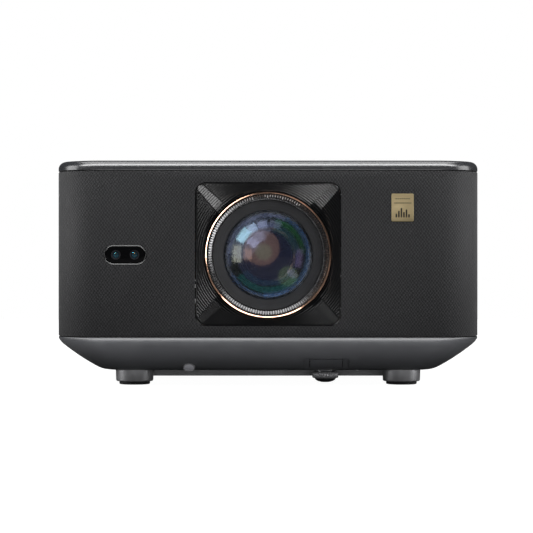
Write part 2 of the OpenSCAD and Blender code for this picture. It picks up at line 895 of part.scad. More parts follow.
module side_grilles() {
    slots = 9;
    pitch = 6.4;
    color("#39393b") both_sides() translate([0, speaker_y, speaker_z]) difference() {
        slab_x(grille_d, grille_h, 10 - gap, body_w / 2 - skin_t, body_w / 2 + 0.2);
        for (i = [0:slots - 1]) translate([0, 0, (i - (slots - 1) / 2) * pitch])
            slab_x(grille_d - 16, 3, 1.45, body_w / 2 - 3, body_w / 2 + 1);
    }
}

// ---- Optical engine ----------------------------------------------------

module engine_housing() {
    leg_x = 40;
    leg_y = [-12, 58];
    color("#3c3d40") difference() {
        union() {
            block([-engine_w / 2, engine_y0, engine_z0], [engine_w / 2, engine_y1, engine_z1]);
            for (sx = [-1, 1], y = leg_y)
                translate([sx * leg_x, y, floor_top]) cylinder(r = 4, h = engine_z0 - floor_top + 1);
        }
        block([engine_wall - engine_w / 2, engine_y0 + engine_wall, engine_z0 + engine_wall],
            [engine_w / 2 - engine_wall, engine_y1 - engine_wall, engine_z1 - engine_wall]);
        at_lens() rod_y(bore_r - 1, engine_y0 - 1, engine_y0 + engine_wall + 1);
        block([-16, engine_y1 - engine_wall - 1, lens_z - 14], [16, engine_y1 + 1, lens_z + 14]);
    }
}

module optical_plate(w, h, y0, y1) {
    block([-w / 2, y0, lens_z - h / 2], [w / 2, y1, lens_z + h / 2]);
}

module lcd_panel() {
    active_w = 68;
    active_h = 40;
    color("#3a4a3c") union() {
        optical_plate(active_w, active_h, -8, -6.4);
        difference() {
            optical_plate(engine_w - 2 * engine_wall - 1, 56, -9, -5.4);
            optical_plate(active_w - 1, active_h - 1, -10, -5);
        }
    }
}

module fresnel_lens() {
    rings = 9;
    color("#c7d5dd") difference() {
        optical_plate(84, 56, 4, 6.4);
        at_lens() for (i = [1:rings]) difference() {
            rod_y(i * 2.9 + 0.5, 5.6, 7);
            rod_y(i * 2.9, 5, 8);
        }
    }
}

module led_module() {
    color("#d9c65a") {
        optical_plate(31, 27, engine_y1 - 6, engine_y1);
        at_lens() rod_y(9, engine_y1 - 14, engine_y1 - 5.9);
    }
}

module heat_pipes() {
    plate_w = 56;
    color("#b8734a") {
        difference() {
            optical_plate(plate_w, 46, engine_y1 + 0.1, pipe_y + 4);
            for (z = pipe_z) translate([0, pipe_y, z]) rotate([0, 90, 0])
                cylinder(r = pipe_r, h = plate_w + 2, center = true);
        }
        for (z = pipe_z) translate([sink_x0 + 2, pipe_y, z]) rotate([0, 90, 0])
            cylinder(r = pipe_r, h = plate_w / 2 - sink_x0 - 6);
    }
}

module heat_sink() {
    fin_t = 0.8;
    pitch = (sink_x1 - sink_x0 - fin_t) / (fin_count - 1);
    color("#b9bcc0") difference() {
        union() {
            for (i = [0:fin_count - 1])
                block([sink_x0 + i * pitch, sink_y0, sink_z0],
                    [sink_x0 + i * pitch + fin_t, sink_y1, sink_z1]);
            block([sink_x0, sink_y0, sink_z0], [sink_x1, sink_y0 + 1, sink_z0 + 5]);
            block([sink_x0, sink_y0, sink_z1 - 5], [sink_x1, sink_y0 + 1, sink_z1]);
        }
        for (z = pipe_z) translate([sink_x0 - 1, pipe_y, z]) rotate([0, 90, 0])
            cylinder(r = pipe_r + 0.05, h = 60);
    }
}

// ---- Fans --------------------------------------------------------------

// Square frame with three struts that carry a fixed axle
module fan_frame(size, depth) {
    hole_r = size / 2 - 1.6;
    hub_r = 9;
    strut_t = 1.6;
    difference() {
        slab_y(size, size, 4, 0, depth);
        rod_y(hole_r, -1, depth + 1);
        for (sx = [-1, 1], sz = [-1, 1]) translate([sx * (size / 2 - 4), 0, sz * (size / 2 - 4)])
            rod_y(1.6, -1, depth + 1);
    }
    rod_y(hub_r, 0, strut_t);
    rod_y(axle_r, 0, depth - 3);
    for (a = [0:120:240]) rotate([0, a, 0])
        block([hub_r - 1, 0, -1.5], [hole_r + 0.6, strut_t, 1.5]);
}

module fan_rotor(size, depth) {
    tip_r = size / 2 - 3.4;
    hub_r = 11;
    y0 = 2.4;
    y1 = depth - 1.6;
    chord = (y1 - y0) * 1.05;
    pitch_angle = 42;
    difference() {
        union() {
            rod_y(hub_r, y0, y1);
            for (i = [0:fan_blades - 1]) rotate([0, i * 360 / fan_blades, 0])
                translate([(tip_r + hub_r) / 2 - 1, (y0 + y1) / 2, 0]) rotate([pitch_angle, 0, 0])
                    cube([tip_r - hub_r + 1, chord, 1.1], center = true);
        }
        rod_y(axle_r + run, y0 - 1, depth - 2.6);
        difference() {
            rod_y(hub_r - 1.4, y0 - 1, y1 - 2.4);
            rod_y(axle_r + 2, y0 - 2, y1);
        }
    }
}

module exhaust_fan_frame() {
    color("#1f1f22") translate([fan_x, fan_y0, fan_z]) fan_frame(exhaust_size, fan_t);
}

module exhaust_fan_rotor() {
    color("#2b2b30") translate([fan_x, fan_y0, fan_z]) fan_rotor(exhaust_size, fan_t);
}

module intake_fan_frame() {
    color("#1f1f22") translate([intake_x, intake_y0, intake_z]) fan_frame(intake_size, intake_t);
}

module intake_fan_rotor() {
    color("#2b2b30") translate([intake_x, intake_y0, intake_z]) fan_rotor(intake_size, intake_t);
}

module dust_filter() {
    filter_w = 68;
    filter_z0 = 76;
    filter_z1 = 128;
    y0 = intake_y0 + intake_t + 0.2;
    pleats = 12;
    pitch = (filter_w - 6) / pleats;
    color("#cfd2d4") translate([door_x, 0, 0]) difference() {
        block([-filter_w / 2, y0, filter_z0], [filter_w / 2, rear_in - 0.2, filter_z1]);
        for (i = [0:pleats - 1]) translate([3 - filter_w / 2 + (i + 0.5) * pitch, 0, 0])
            block([-1.6, y0 + 1.4, filter_z0 + 3], [1.6, back, filter_z1 - 3]);
    }
}

// ---- Rear --------------------------------------------------------------

module socket_cut(x, w, h, z) {
    block([x - w / 2 - 0.3, rear_in - 1, z - 0.3], [x + w / 2 + 0.3, back + 1, z + h + 0.3]);
}

hdmi_size = [15, 12.4, 6];
usb_size = [13.2, 14, 5.8];
jack_size = [8, 14, 7.2];
inlet_size = [24, 20, 12.4];

module rear_panel() {
    vents = 11;
    vent_pitch = 5.2;
    vent_w = 52;
    boss = 6;
    color("#242426") difference() {
        union() {
            translate([0, 0, (rear_z0 + rear_z1) / 2])
                slab_y(rear_w, rear_z1 - rear_z0, 6 - gap, rear_in + 0.05, back);
            for (s = [-1, 1]) translate([door_x + s * (door_w / 2 + 2), 0, hinge_z])
                block([-2, rear_in - 3, -boss / 2], [2, back - 1, boss / 2]);
        }
        for (i = [0:vents - 1]) translate([fan_x, 0, fan_z + (i - (vents - 1) / 2) * vent_pitch])
            slab_y(vent_w, 2.8, 1.35, rear_in - 1, back + 1);
        block([door_x - door_w / 2, rear_in - 5, door_z0], [door_x + door_w / 2, back + 1, door_z1]);
        translate([door_x - door_w / 2 - 2.4, hinge_y, hinge_z]) rotate([0, 90, 0])
            cylinder(r = hinge_pin_r + run, h = door_w + 4.8);
        for (x = hdmi_x) socket_cut(x, hdmi_size[0], hdmi_size[2], port_z);
        socket_cut(usb_x, usb_size[0], usb_size[2], port_z);
        translate([jack_x, 0, jack_z]) rod_y(3.4, rear_in - 1, back + 1);
        socket_cut(inlet_x, inlet_size[0], inlet_size[2], inlet_z - inlet_size[2] / 2);
        at_rear_screws() {
            rod_y(screw_r + 0.2, rear_in - 1, back + 1);
            rod_y(screw_head_r + 0.2, back - screw_head_h - 0.4, back + 1);
        }
    }
}

module filter_door() {
    slots = 8;
    slot_pitch = 5.6;
    leaf_z0 = hinge_z + 1.2;
    leaf_z1 = door_z1 - 0.6;
    leaf_w = door_w - 1.2;
    color("#2a2a2d") translate([door_x, 0, 0]) difference() {
        union() {
            block([-leaf_w / 2, hinge_y - 0.6, leaf_z0], [leaf_w / 2, back, leaf_z1]);
            translate([-leaf_w / 2, hinge_y, hinge_z]) rotate([0, 90, 0]) cylinder(r = hinge_r, h = leaf_w);
            translate([-door_w / 2 - 1.6, hinge_y, hinge_z]) rotate([0, 90, 0])
                cylinder(r = hinge_pin_r, h = door_w + 3.2);
        }
        for (i = [0:slots - 1]) translate([0, 0, leaf_z0 + 7 + i * slot_pitch])
            slab_y(leaf_w - 16, 2.8, 1.35, rear_in - 1, back + 1);
        translate([0, back + 1.6, leaf_z1 - 2]) rotate([0, 90, 0]) cylinder(r = 2.6, h = 16, center = true);
    }
}

module hdmi_sockets() {
    shell = 0.6;
    color("#b4b6ba") for (x = hdmi_x) translate([x, 0, port_z]) difference() {
        block([-hdmi_size[0] / 2, back - 0.4 - hdmi_size[1], 0],
            [hdmi_size[0] / 2, back - 0.4, hdmi_size[2]]);
        difference() {
            block([shell - hdmi_size[0] / 2, back - 10, shell],
                [hdmi_size[0] / 2 - shell, back, hdmi_size[2] - shell]);
            block([-5.8, back - 11, 2.4], [5.8, back - 2, 3.3]);
        }
    }
}

module usb_socket() {
    shell = 0.4;
    color("#b4b6ba") translate([usb_x, 0, port_z]) difference() {
        block([-usb_size[0] / 2, back - 0.4 - usb_size[1], 0], [usb_size[0] / 2, back - 0.4, usb_size[2]]);
        difference() {
            block([shell - usb_size[0] / 2, back - 12, shell],
                [usb_size[0] / 2 - shell, back, usb_size[2] - shell]);
            block([-5.5, back - 13, 2.9], [5.5, back - 2, 4.7]);
        }
    }
}

module audio_jack() {
    color("#17171a") translate([jack_x, 0, jack_z]) difference() {
        union() {
            block([-jack_size[0] / 2, back - 3 - jack_size[1], -jack_size[2] / 2],
                [jack_size[0] / 2, rear_in - 0.2, jack_size[2] / 2]);
            rod_y(3.2, rear_in - 1, back - 0.2);
        }
        rod_y(jack_r, back - 15, back + 1);
    }
}

module power_inlet() {
    cavity_w = 17;
    cavity_h = 8.8;
    depth = 10;
    pin_gap = 8.6;
    color("#141416") translate([inlet_x, 0, inlet_z]) {
        difference() {
            slab_y(inlet_size[0], inlet_size[2], 2, back - inlet_size[1], back - 0.2);
            slab_y(cavity_w, cavity_h, cavity_h / 2 - eps, back - depth, back + 1);
        }
        for (s = [-1, 1]) translate([s * pin_gap / 2, 0, 0]) rod_y(1.2, back - depth - 1, back - 2);
    }
}

// ---- Boards ------------------------------------------------------------

module chip(x, y, w, d, h) {
    block([x - w / 2, y - d / 2, board_z + board_t - eps], [x + w / 2, y + d / 2, board_z + board_t + h]);
}

module board(low, high) {
    difference() {
        block([low[0], low[1], board_z], [high[0], high[1], board_z + board_t]);
        for (sx = [-1, 1], y = [-12, 58])
            translate([sx * 40, y, board_z - 1]) cylinder(r = 4.4, h = board_t + 2);
    }
}

module main_board() {
    color("#1f5a3c") union() {
        board([8, 18], [110, rear_in - 1]);
        chip(60, 60, 18, 18, 2.4);
        chip(88, 62, 14, 12, 2);
        chip(60, 36, 12, 16, 1.8);
        chip(92, 34, 20, 9, 6);
        for (i = [0:4]) translate([20 + i * 7, 30, board_z + board_t - eps]) cylinder(r = 2.6, h = 7);
    }
}

module power_board() {
    color("#6a5b2c") union() {
        board([-114, -46], [-14, 66]);
        chip(-84, 20, 30, 26, 12);
        chip(-56, -24, 18, 20, 10);
        chip(-98, -20, 8, 30, 11);
        for (i = [0:3]) translate([-66 + i * 12, 42, board_z + board_t - eps]) cylinder(r = 4.5, h = 11);
        translate([-78, -30, board_z + board_t - eps]) cylinder(r = 6, h = 12);
    }
}

// ---- Speakers ----------------------------------------------------------

// Places a turned piece whose axis points in from the right wall
module at_speaker() {
    translate([body_w / 2 - inner_inset, speaker_y, speaker_z]) rotate([0, -90, 0]) children();
}

coil_end = 18;

module basket() {
    slot_end = coil_end + cone_travel + 4;
    rotate_extrude() polygon([
        [25.2, 0.05], [31, 0.05], [31, 2.2], [28, 2.2], [28, 8], [20, 17], [20, 30], [0, 30], [0, 14],
        [7.6, 14], [7.6, slot_end], [10, slot_end], [10, 15.8], [10.4, 15.5], [25.2, 7]]);
}

module cone() {
    rotate_extrude() polygon([
        [0, 6.6], [4, 7.4], [8.4, 10], [23.4, 3], [24.4, 3], [24.4, 3.8], [9.2, 11],
        [9.2, coil_end], [8.4, coil_end], [8.4, 11], [0, 7.6]]);
}

module speaker_frames() { color("#2a2a2d") both_sides() at_speaker() basket(); }

module speaker_cone_right() { color("#3a3a3e") at_speaker() cone(); }

module speaker_cone_left() { color("#3a3a3e") mirror([1, 0, 0]) at_speaker() cone(); }

// ---- Parts -------------------------------------------------------------

top_cover();
control_panel();
mid_housing();
wrap_skin();
base_shell();
bottom_plate();
rear_panel();
lens_bezel();
lens_trim_ring();
index_ring();
lens_hood();
front_lens();
sensor_frame();
sensor_window();
sensor_cameras();
badge_plate();
ir_window();
status_led();
foot_cups();
foot_pads();
case_screws();
tripod_insert();
side_grilles();
elevator_sleeve();
elevator_leg();
elevator_knob();
release_tab();
release_spring();
power_button();
ok_button();
nav_ring();
volume_down_button();
volume_up_button();
lens_barrel();
focus_cell();
focus_lens();
focus_ring();
focus_motor();
focus_pinion();
engine_housing();
lcd_panel();
fresnel_lens();
led_module();
heat_pipes();
heat_sink();
exhaust_fan_frame();
exhaust_fan_rotor();
intake_fan_frame();
intake_fan_rotor();
dust_filter();
filter_door();
main_board();
power_board();
speaker_frames();
speaker_cone_left();
speaker_cone_right();
power_inlet();
audio_jack();
hdmi_sockets();
usb_socket();
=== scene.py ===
"""Home projector: the visual model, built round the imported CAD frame."""
import json
from math import asin, atan2, copysign, cos, hypot, pi, radians, sin, sqrt, tan

import bmesh
import bpy
from mathutils import Matrix, Vector


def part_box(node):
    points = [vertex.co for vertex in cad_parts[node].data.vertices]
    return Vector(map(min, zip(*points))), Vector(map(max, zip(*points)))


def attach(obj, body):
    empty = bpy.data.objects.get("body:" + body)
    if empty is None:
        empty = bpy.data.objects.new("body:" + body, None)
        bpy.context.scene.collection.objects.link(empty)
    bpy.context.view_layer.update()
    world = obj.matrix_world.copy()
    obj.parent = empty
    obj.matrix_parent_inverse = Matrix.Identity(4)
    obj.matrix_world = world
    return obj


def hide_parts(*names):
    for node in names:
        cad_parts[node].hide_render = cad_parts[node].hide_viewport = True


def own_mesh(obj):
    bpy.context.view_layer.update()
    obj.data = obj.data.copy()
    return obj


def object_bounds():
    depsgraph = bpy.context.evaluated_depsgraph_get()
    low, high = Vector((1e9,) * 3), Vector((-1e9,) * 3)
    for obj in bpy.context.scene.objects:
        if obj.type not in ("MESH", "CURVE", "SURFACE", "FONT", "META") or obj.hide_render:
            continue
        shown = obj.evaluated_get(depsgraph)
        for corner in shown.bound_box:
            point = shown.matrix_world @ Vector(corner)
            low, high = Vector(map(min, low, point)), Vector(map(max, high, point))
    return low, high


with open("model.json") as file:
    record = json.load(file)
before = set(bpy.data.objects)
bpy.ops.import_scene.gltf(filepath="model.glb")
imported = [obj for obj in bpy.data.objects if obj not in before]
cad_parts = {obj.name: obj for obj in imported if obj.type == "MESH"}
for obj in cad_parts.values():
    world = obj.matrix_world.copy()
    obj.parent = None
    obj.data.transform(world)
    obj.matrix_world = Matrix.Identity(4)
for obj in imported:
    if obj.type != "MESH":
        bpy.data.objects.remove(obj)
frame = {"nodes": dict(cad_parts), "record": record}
cad_low, cad_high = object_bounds()
nodes = frame["nodes"]
MM = 0.001
LENS_POINT = Vector((0, -0.108, 0.084))
GLASS_R, GLASS_BALL = 28.4, 72.0  # front glass: edge radius and radius of its sphere, in millimetres
X, Y, Z = Vector((1, 0, 0)), Vector((0, 1, 0)), Vector((0, 0, 1))


# ---- Camera and light ----

def look_at(obj, target):
    obj.rotation_euler = (Vector(target) - obj.location).to_track_quat("-Z", "Y").to_euler()


def linked(name, data):
    obj = bpy.data.objects.new(name, data)
    bpy.context.scene.collection.objects.link(obj)
    return obj


def add_camera():
    data = bpy.data.cameras.new("camera")
    data.sensor_width = 36
    data.lens = 139
    data.clip_end = 20
    camera = linked("camera", data)
    camera.location = (-0.001, -1.415, 0.0766)
    look_at(camera, (-0.001, 0, 0.0766))
    bpy.context.scene.camera = camera


def softbox(name, location, target, size, radiance, colour=(1, 1, 1), diffuse=True, glossy=True, only=(),
            but=(), shape="RECTANGLE"):
    """Area light of a set brightness; `only` names the pieces it is meant for, `but` those it leaves out."""
    data = bpy.data.lights.new(name, "AREA")
    data.shape = shape
    data.size, data.size_y = size
    filled = 1 if shape == "RECTANGLE" else pi / 4
    data.energy = radiance * pi * size[0] * size[1] * filled
    data.color = colour
    light = linked(name, data)
    light.location = location
    look_at(light, target)
    light.visible_camera = False
    light.visible_diffuse = diffuse
    light.visible_glossy = glossy
    if only or but:
        light.light_linking.receiver_collection = receivers([*only, *but], bool(but))
    return light


def gleam(name, location, target, size, radiance, *pieces, **more):
    """Softbox that shows only in the gloss of the named pieces."""
    return softbox(name, location, target, size, radiance, diffuse=False, only=pieces, **more)


def receivers(pieces, left_out):
    """Collection of the pieces a light is meant for, or leaves out; lights with the same list share it."""
    name = ("not_" if left_out else "only_") + pieces[0] + str(len(pieces))
    if name in bpy.data.collections:
        return bpy.data.collections[name]
    group = bpy.data.collections.new(name)
    for piece in pieces:
        group.objects.link(bpy.data.objects[piece])
    for member in group.collection_objects:
        member.light_linking.link_state = "EXCLUDE" if left_out else "INCLUDE"
    return group


def floor_panel(name, x, y, radiance, only, colour=(1, 1, 1), diffuse=False, glossy=True):
    """Panel lying on the floor and facing up, between two x and two y places in metres."""
    centre = Vector((sum(x) / 2, sum(y) / 2, 0.003))
    light = softbox(name, centre, centre + Z, (x[1] - x[0], y[1] - y[0]), radiance, colour, diffuse, glossy, only)
    light.rotation_euler = (pi, 0, 0)


def mirrored(point, normal):
    """Direction in which a surface point shows its surroundings to the camera."""
    view = (point - bpy.context.scene.camera.location).normalized()
    return view - 2 * view.dot(normal) * normal


def leaning(azimuth, lean):
    """Direction that leaves the forward one by `lean`, towards an azimuth round the optical axis."""
    return Vector((sin(lean) * cos(azimuth), -cos(lean), sin(lean) * sin(azimuth)))


def round_axis(radius, y, angle):
    """Point at a radius and angle round the optical axis, in millimetres."""
    return AXIS + Vector((radius * cos(angle), y, radius * sin(angle)))


def glass_panel(name, azimuth, turn, inner, outer, radiance, colour, shape="RECTANGLE", reach_out=1.4):
    """Panel that the front glass mirrors at a chosen place: azimuth and width in degrees round
    the axis, inner and outer edge as parts of the glass radius."""
    a = radians(azimuth)
    r = (inner + outer) / 2 * GLASS_R
    lean = asin(r / GLASS_BALL)
    point = round_axis(r, GLASS_APEX + GLASS_BALL * (1 - cos(lean)), a) * MM
    out = mirrored(point, leaning(a, lean))
    distance = reach_out if out.z > 0 else min(reach_out, 0.35 * point.z / -out.z)
    spread = hypot(out.x, out.z)
    height = (outer - inner) * GLASS_R * MM * (1 + 2 * distance / (GLASS_BALL * MM * cos(lean)))
    width = height if shape == "DISK" else radians(turn) * (r * MM + distance * spread)
    light = gleam(name, point + out * distance, point, (width, height), radiance, "front_element",
                  colour=colour, shape=shape)
    across = Vector((-sin(a), 0, cos(a)))
    across = (across - out * across.dot(out)).normalized()
    light.rotation_euler = Matrix((across, out.cross(across), out)).transposed().to_euler()


def bezel_panel(name, azimuth, radius, slope, spread, radiance, distance=1.2):
    """Panel that the funnel mirrors at a place for a given (x, z) slope of its ridges."""
    point = round_axis(radius, FRONT + 4, radians(azimuth)) * MM
    out = mirrored(point, Vector((slope[0], -1, slope[1])).normalized())
    size = tuple(4 * distance * part / (1 + slope[0] ** 2 + slope[1] ** 2) for part in spread)
    gleam(name, point + out * distance, point, size, radiance, "ridged_bezel")


def add_glass_lights():
    """Window panes to the upper left, then the softer patches and coloured rims of the coatings."""
    box, disk, lavender, clay = "RECTANGLE", "DISK", (0.68, 0.7, 1.0), (1.0, 0.55, 0.36)
    for panel in [
            ("pane_haze", 143, 108, 0.28, 0.86, 0.8, (0.72, 0.76, 1.0)),
            ("pane_upper", 142, 27, 0.60, 0.80, 8, (0.6, 0.9, 1.0)),
            ("pane_top", 120, 16, 0.60, 0.79, 5.5, (0.66, 0.78, 1.0)),
            ("pane_end", 100, 17, 0.61, 0.79, 3.0, lavender),
            ("pane_side", 178, 32, 0.60, 0.79, 3.0, (1.0, 0.93, 0.7), box, 0.3),
            ("pane_right", 77, 22, 0.62, 0.79, 1.2, lavender),
            ("inner_upper", 141, 24, 0.33, 0.56, 3.2, lavender),
            ("inner_top", 114, 26, 0.34, 0.56, 1.6, lavender),
            ("inner_side", 179, 32, 0.36, 0.55, 1.8, clay, box, 0.3),
            ("brown_patch", 132, 0, -0.21, 0.63, 1.0, (1.0, 0.5, 0.3), disk, 0.12),
            ("olive_patch", 149, 0, -0.07, 0.31, 0.55, (0.6, 1.0, 0.52), disk, 0.12),
            ("navy_haze", 90, 0, -0.82, 0.82, 0.24, (0.3, 0.36, 1.0), disk, 0.1),
            ("violet_patch", -6, 34, 0.63, 0.78, 0.8, (0.8, 0.55, 1.0), box, 0.3),
            ("ghost_edge", -47, 0, 0.43, 0.88, 0.5, (0.75, 1.0, 0.3), disk),
            ("ghost_middle", -47, 0, 0.47, 0.84, 0.7, (0.5, 0.7, 1.0), disk),
            ("ghost_right", -38, 14, 0.55, 0.82, 1.0, (0.78, 0.66, 1.0), "ELLIPSE")]:
        glass_panel(*panel)
    for name, first, step, count, turn, inner, outer, radiance, fade, colour in [
            ("green_glint", 70, -15, 5, 15.5, 0.74, 0.83, 0.55, 0.08, (0.16, 1.0, 0.3)),
            ("green_haze", 70, -15, 5, 15.5, 0.54, 0.75, 0.24, 0.03, (0.2, 1.0, 0.5)),
            ("blue_rim", 54, -20, 8, 20.5, 0.92, 1.0, 1.5, 0, (0.16, 0.42, 1.0)),
            ("blue_inner", 54, -20, 8, 20.5, 0.84, 0.93, 0.55, 0, (0.3, 0.55, 1.0)),
            ("grey_rim", 76, 22, 6, 22.5, 0.84, 1.0, 1.3, 0.14, (0.62, 0.66, 1.0)),
            ("low_rim", 214, 15, 6, 15.5, 0.90, 1.0, 0.9, 0, (0.2, 0.45, 1.0)),
            ("teal_arc", 226, 21, 5, 21.5, 0.72, 0.86, 0.42, 0, (0.08, 0.85, 0.8)),
            ("teal_haze", 226, 21, 5, 21.5, 0.58, 0.70, 0.2, 0, (0.2, 0.7, 1.0))]:
        for i in range(count):
            glass_panel(name, first + step * i, turn, inner, outer, radiance - fade * i, colour)


def add_ring_lights():
    """White arcs on the copper ring: tall panels on the left, a floor panel below, a dim one above."""
    copper, scale = "copper_ring", "index_scale_ring"
    for azimuth in (128, 143, 158, 173, 185):
        place = LENS_POINT + leaning(radians(azimuth), radians(52)) * 1.2
        gleam("ring_left", place, LENS_POINT, (0.36, 0.9), 4.6, copper)
        gleam("scale_left", place, LENS_POINT, (0.4, 1.0), 8.5, scale)
    floor_panel("ring_floor", (-0.085, 0.05), (-0.3, -0.12), 6, [copper])
    floor_panel("scale_floor", (-0.085, 0.06), (-0.3, -0.12), 14, [scale])
    gleam("ring_top", (0.3, -0.8, 0.7), LENS_POINT, (0.5, 0.4), 0.5, copper)
    softbox("cone_glow", (0.7, -1.6, 0.5), LENS_POINT, (0.7, 0.7), 4.5, only=["hood_cone"])


def add_bezel_lights():
    """Grey band at the upper left, lined bands in the other corners, and faint fans on the flats."""
    bezel = ["ridged_bezel"]
    floor_panel("band_upper_left", (0.066, 0.105), (-1.1, -0.17), 10.5, bezel)
    floor_panel("band_upper_right", (-0.105, -0.066), (-0.262, -0.18), 12, bezel)
    floor_panel("fan_top", (0.018, 0.03), (-0.19, -0.155), 0.2, bezel)
    bezel_panel("band_lower_right", -45, 56, (-0.36, 0.36), (0.03, 0.024), 12)
    bezel_panel("band_lower_left", -135, 60, (0.36, 0.36), (0.026, 0.024), 9, 0.2)
    bezel_panel("fan_low_left", -122, 52, (-0.11, 0.34), (0.03, 0.05), 1.1)
    bezel_panel("fan_low_right", -56, 52, (0.11, 0.34), (0.03, 0.05), 1.2)
    bezel_panel("fan_left", 150, 50, (0.66, -0.10), (0.05, 0.04), 3.4, 0.6)


def add_lights():
    """Big softboxes for the whole object, then panels that put the photo's gloss on one piece each."""
    unlit = ["ridged_bezel", "front_element", "copper_ring", "index_scale_ring", "hood_cone"]
    middle = (0, 0, 0.08)
    softbox("overhead", (0, -0.1, 1.5), (0, -0.05, 0), (1.7, 1.2), 4.4, but=unlit)
    softbox("left_side", (-1.5, -0.25, 0.4), middle, (0.9, 0.9), 5.6, but=unlit)
    softbox("right_side", (1.5, -0.3, 0.4), middle, (0.9, 0.9), 5.4, but=unlit)
    lid = ["lid_shell", "control_glass", *(key + "_cap" for key in KEYS)]
    softbox("back", (0, 1.6, 0.7), middle, (1.4, 0.8), 6, but=lid)
    softbox("front_fill", (0.45, -2.6, 0.22), (0, 0, 0.06), (2.2, 1.2), 4.6, glossy=False)
    gleam("lid_strip", (0, -0.192, 0.236), (0, -0.115, 0.144), (0.5, 0.06), 15.5, "lid_shell", "sensor_bead")
    low = ["base_tub", "tab_face", "feet_metal", "knob_fluted", "ir_rim", "ir_lens", nodes["bottom_plate"].name]
    wide, deep = (-0.85, 0.85), (-1.3, -0.13)
    floor_panel("floor_shine", wide, deep, 7, ["base_tub"])
    floor_panel("lid_shine", wide, deep, 3, ["lid_shell"])
    floor_panel("wrap_fill", (-0.3, 0.7), (-0.7, -0.17), 1.3, ["leatherette_wrap"], diffuse=True, glossy=False)
    floor_panel("floor_fill", (-0.6, 0.6), (-0.9, -0.12), 2.7, low, diffuse=True, glossy=False)
    floor_panel("floor_metal", (-0.6, 0.6), (-0.9, -0.14), 0.5, low[2:])
    gleam("badge_glow", (0.12, -1.5, 0.16), (0.085, -0.115, 0.114), (0.9, 0.8), 0.76, "badge_plate_gold")
    gleam("camera_glint", (-0.9, -1.0, 1.0), (-0.09, -0.11, 0.084), (0.3, 0.3), 14, "camera_domes",
          colour=(0.3, 0.85, 1.0))
    floor_panel("camera_warm_glint", (-0.1, 0.05), (-0.3, -0.16), 10, ["camera_inner_lenses"], (1.0, 0.55, 0.25))
    floor_panel("pill_line", (-0.25, 0.05), (-0.24, -0.13), 14, ["sensor_bead"])
    add_bezel_lights()
    add_ring_lights()
    add_glass_lights()


def add_world():
    """White to the eye, dim grey in reflections, so that dark gloss stays dark."""
    world = bpy.data.worlds.new("studio")
    world.use_nodes = True
    tree = world.node_tree
    seen, path, mix = (tree.nodes.new("ShaderNode" + kind) for kind in ("Background", "LightPath", "MixShader"))
    dim = tree.nodes["Background"]
    seen.inputs["Color"].default_value = (1, 1, 1, 1)
    dim.inputs["Color"].default_value = (0.9, 0.94, 1, 1)
    dim.inputs["Strength"].default_value = 0.06
    tree.links.new(mix.outputs[0], tree.nodes["World Output"].inputs["Surface"])
    for i, value in enumerate((path.outputs["Is Camera Ray"], dim.outputs[0], seen.outputs[0])):
        tree.links.new(value, mix.inputs[i])
    bpy.context.scene.world = world
    bpy.context.scene.view_settings.view_transform = "Standard"


# ---- Material building blocks ----

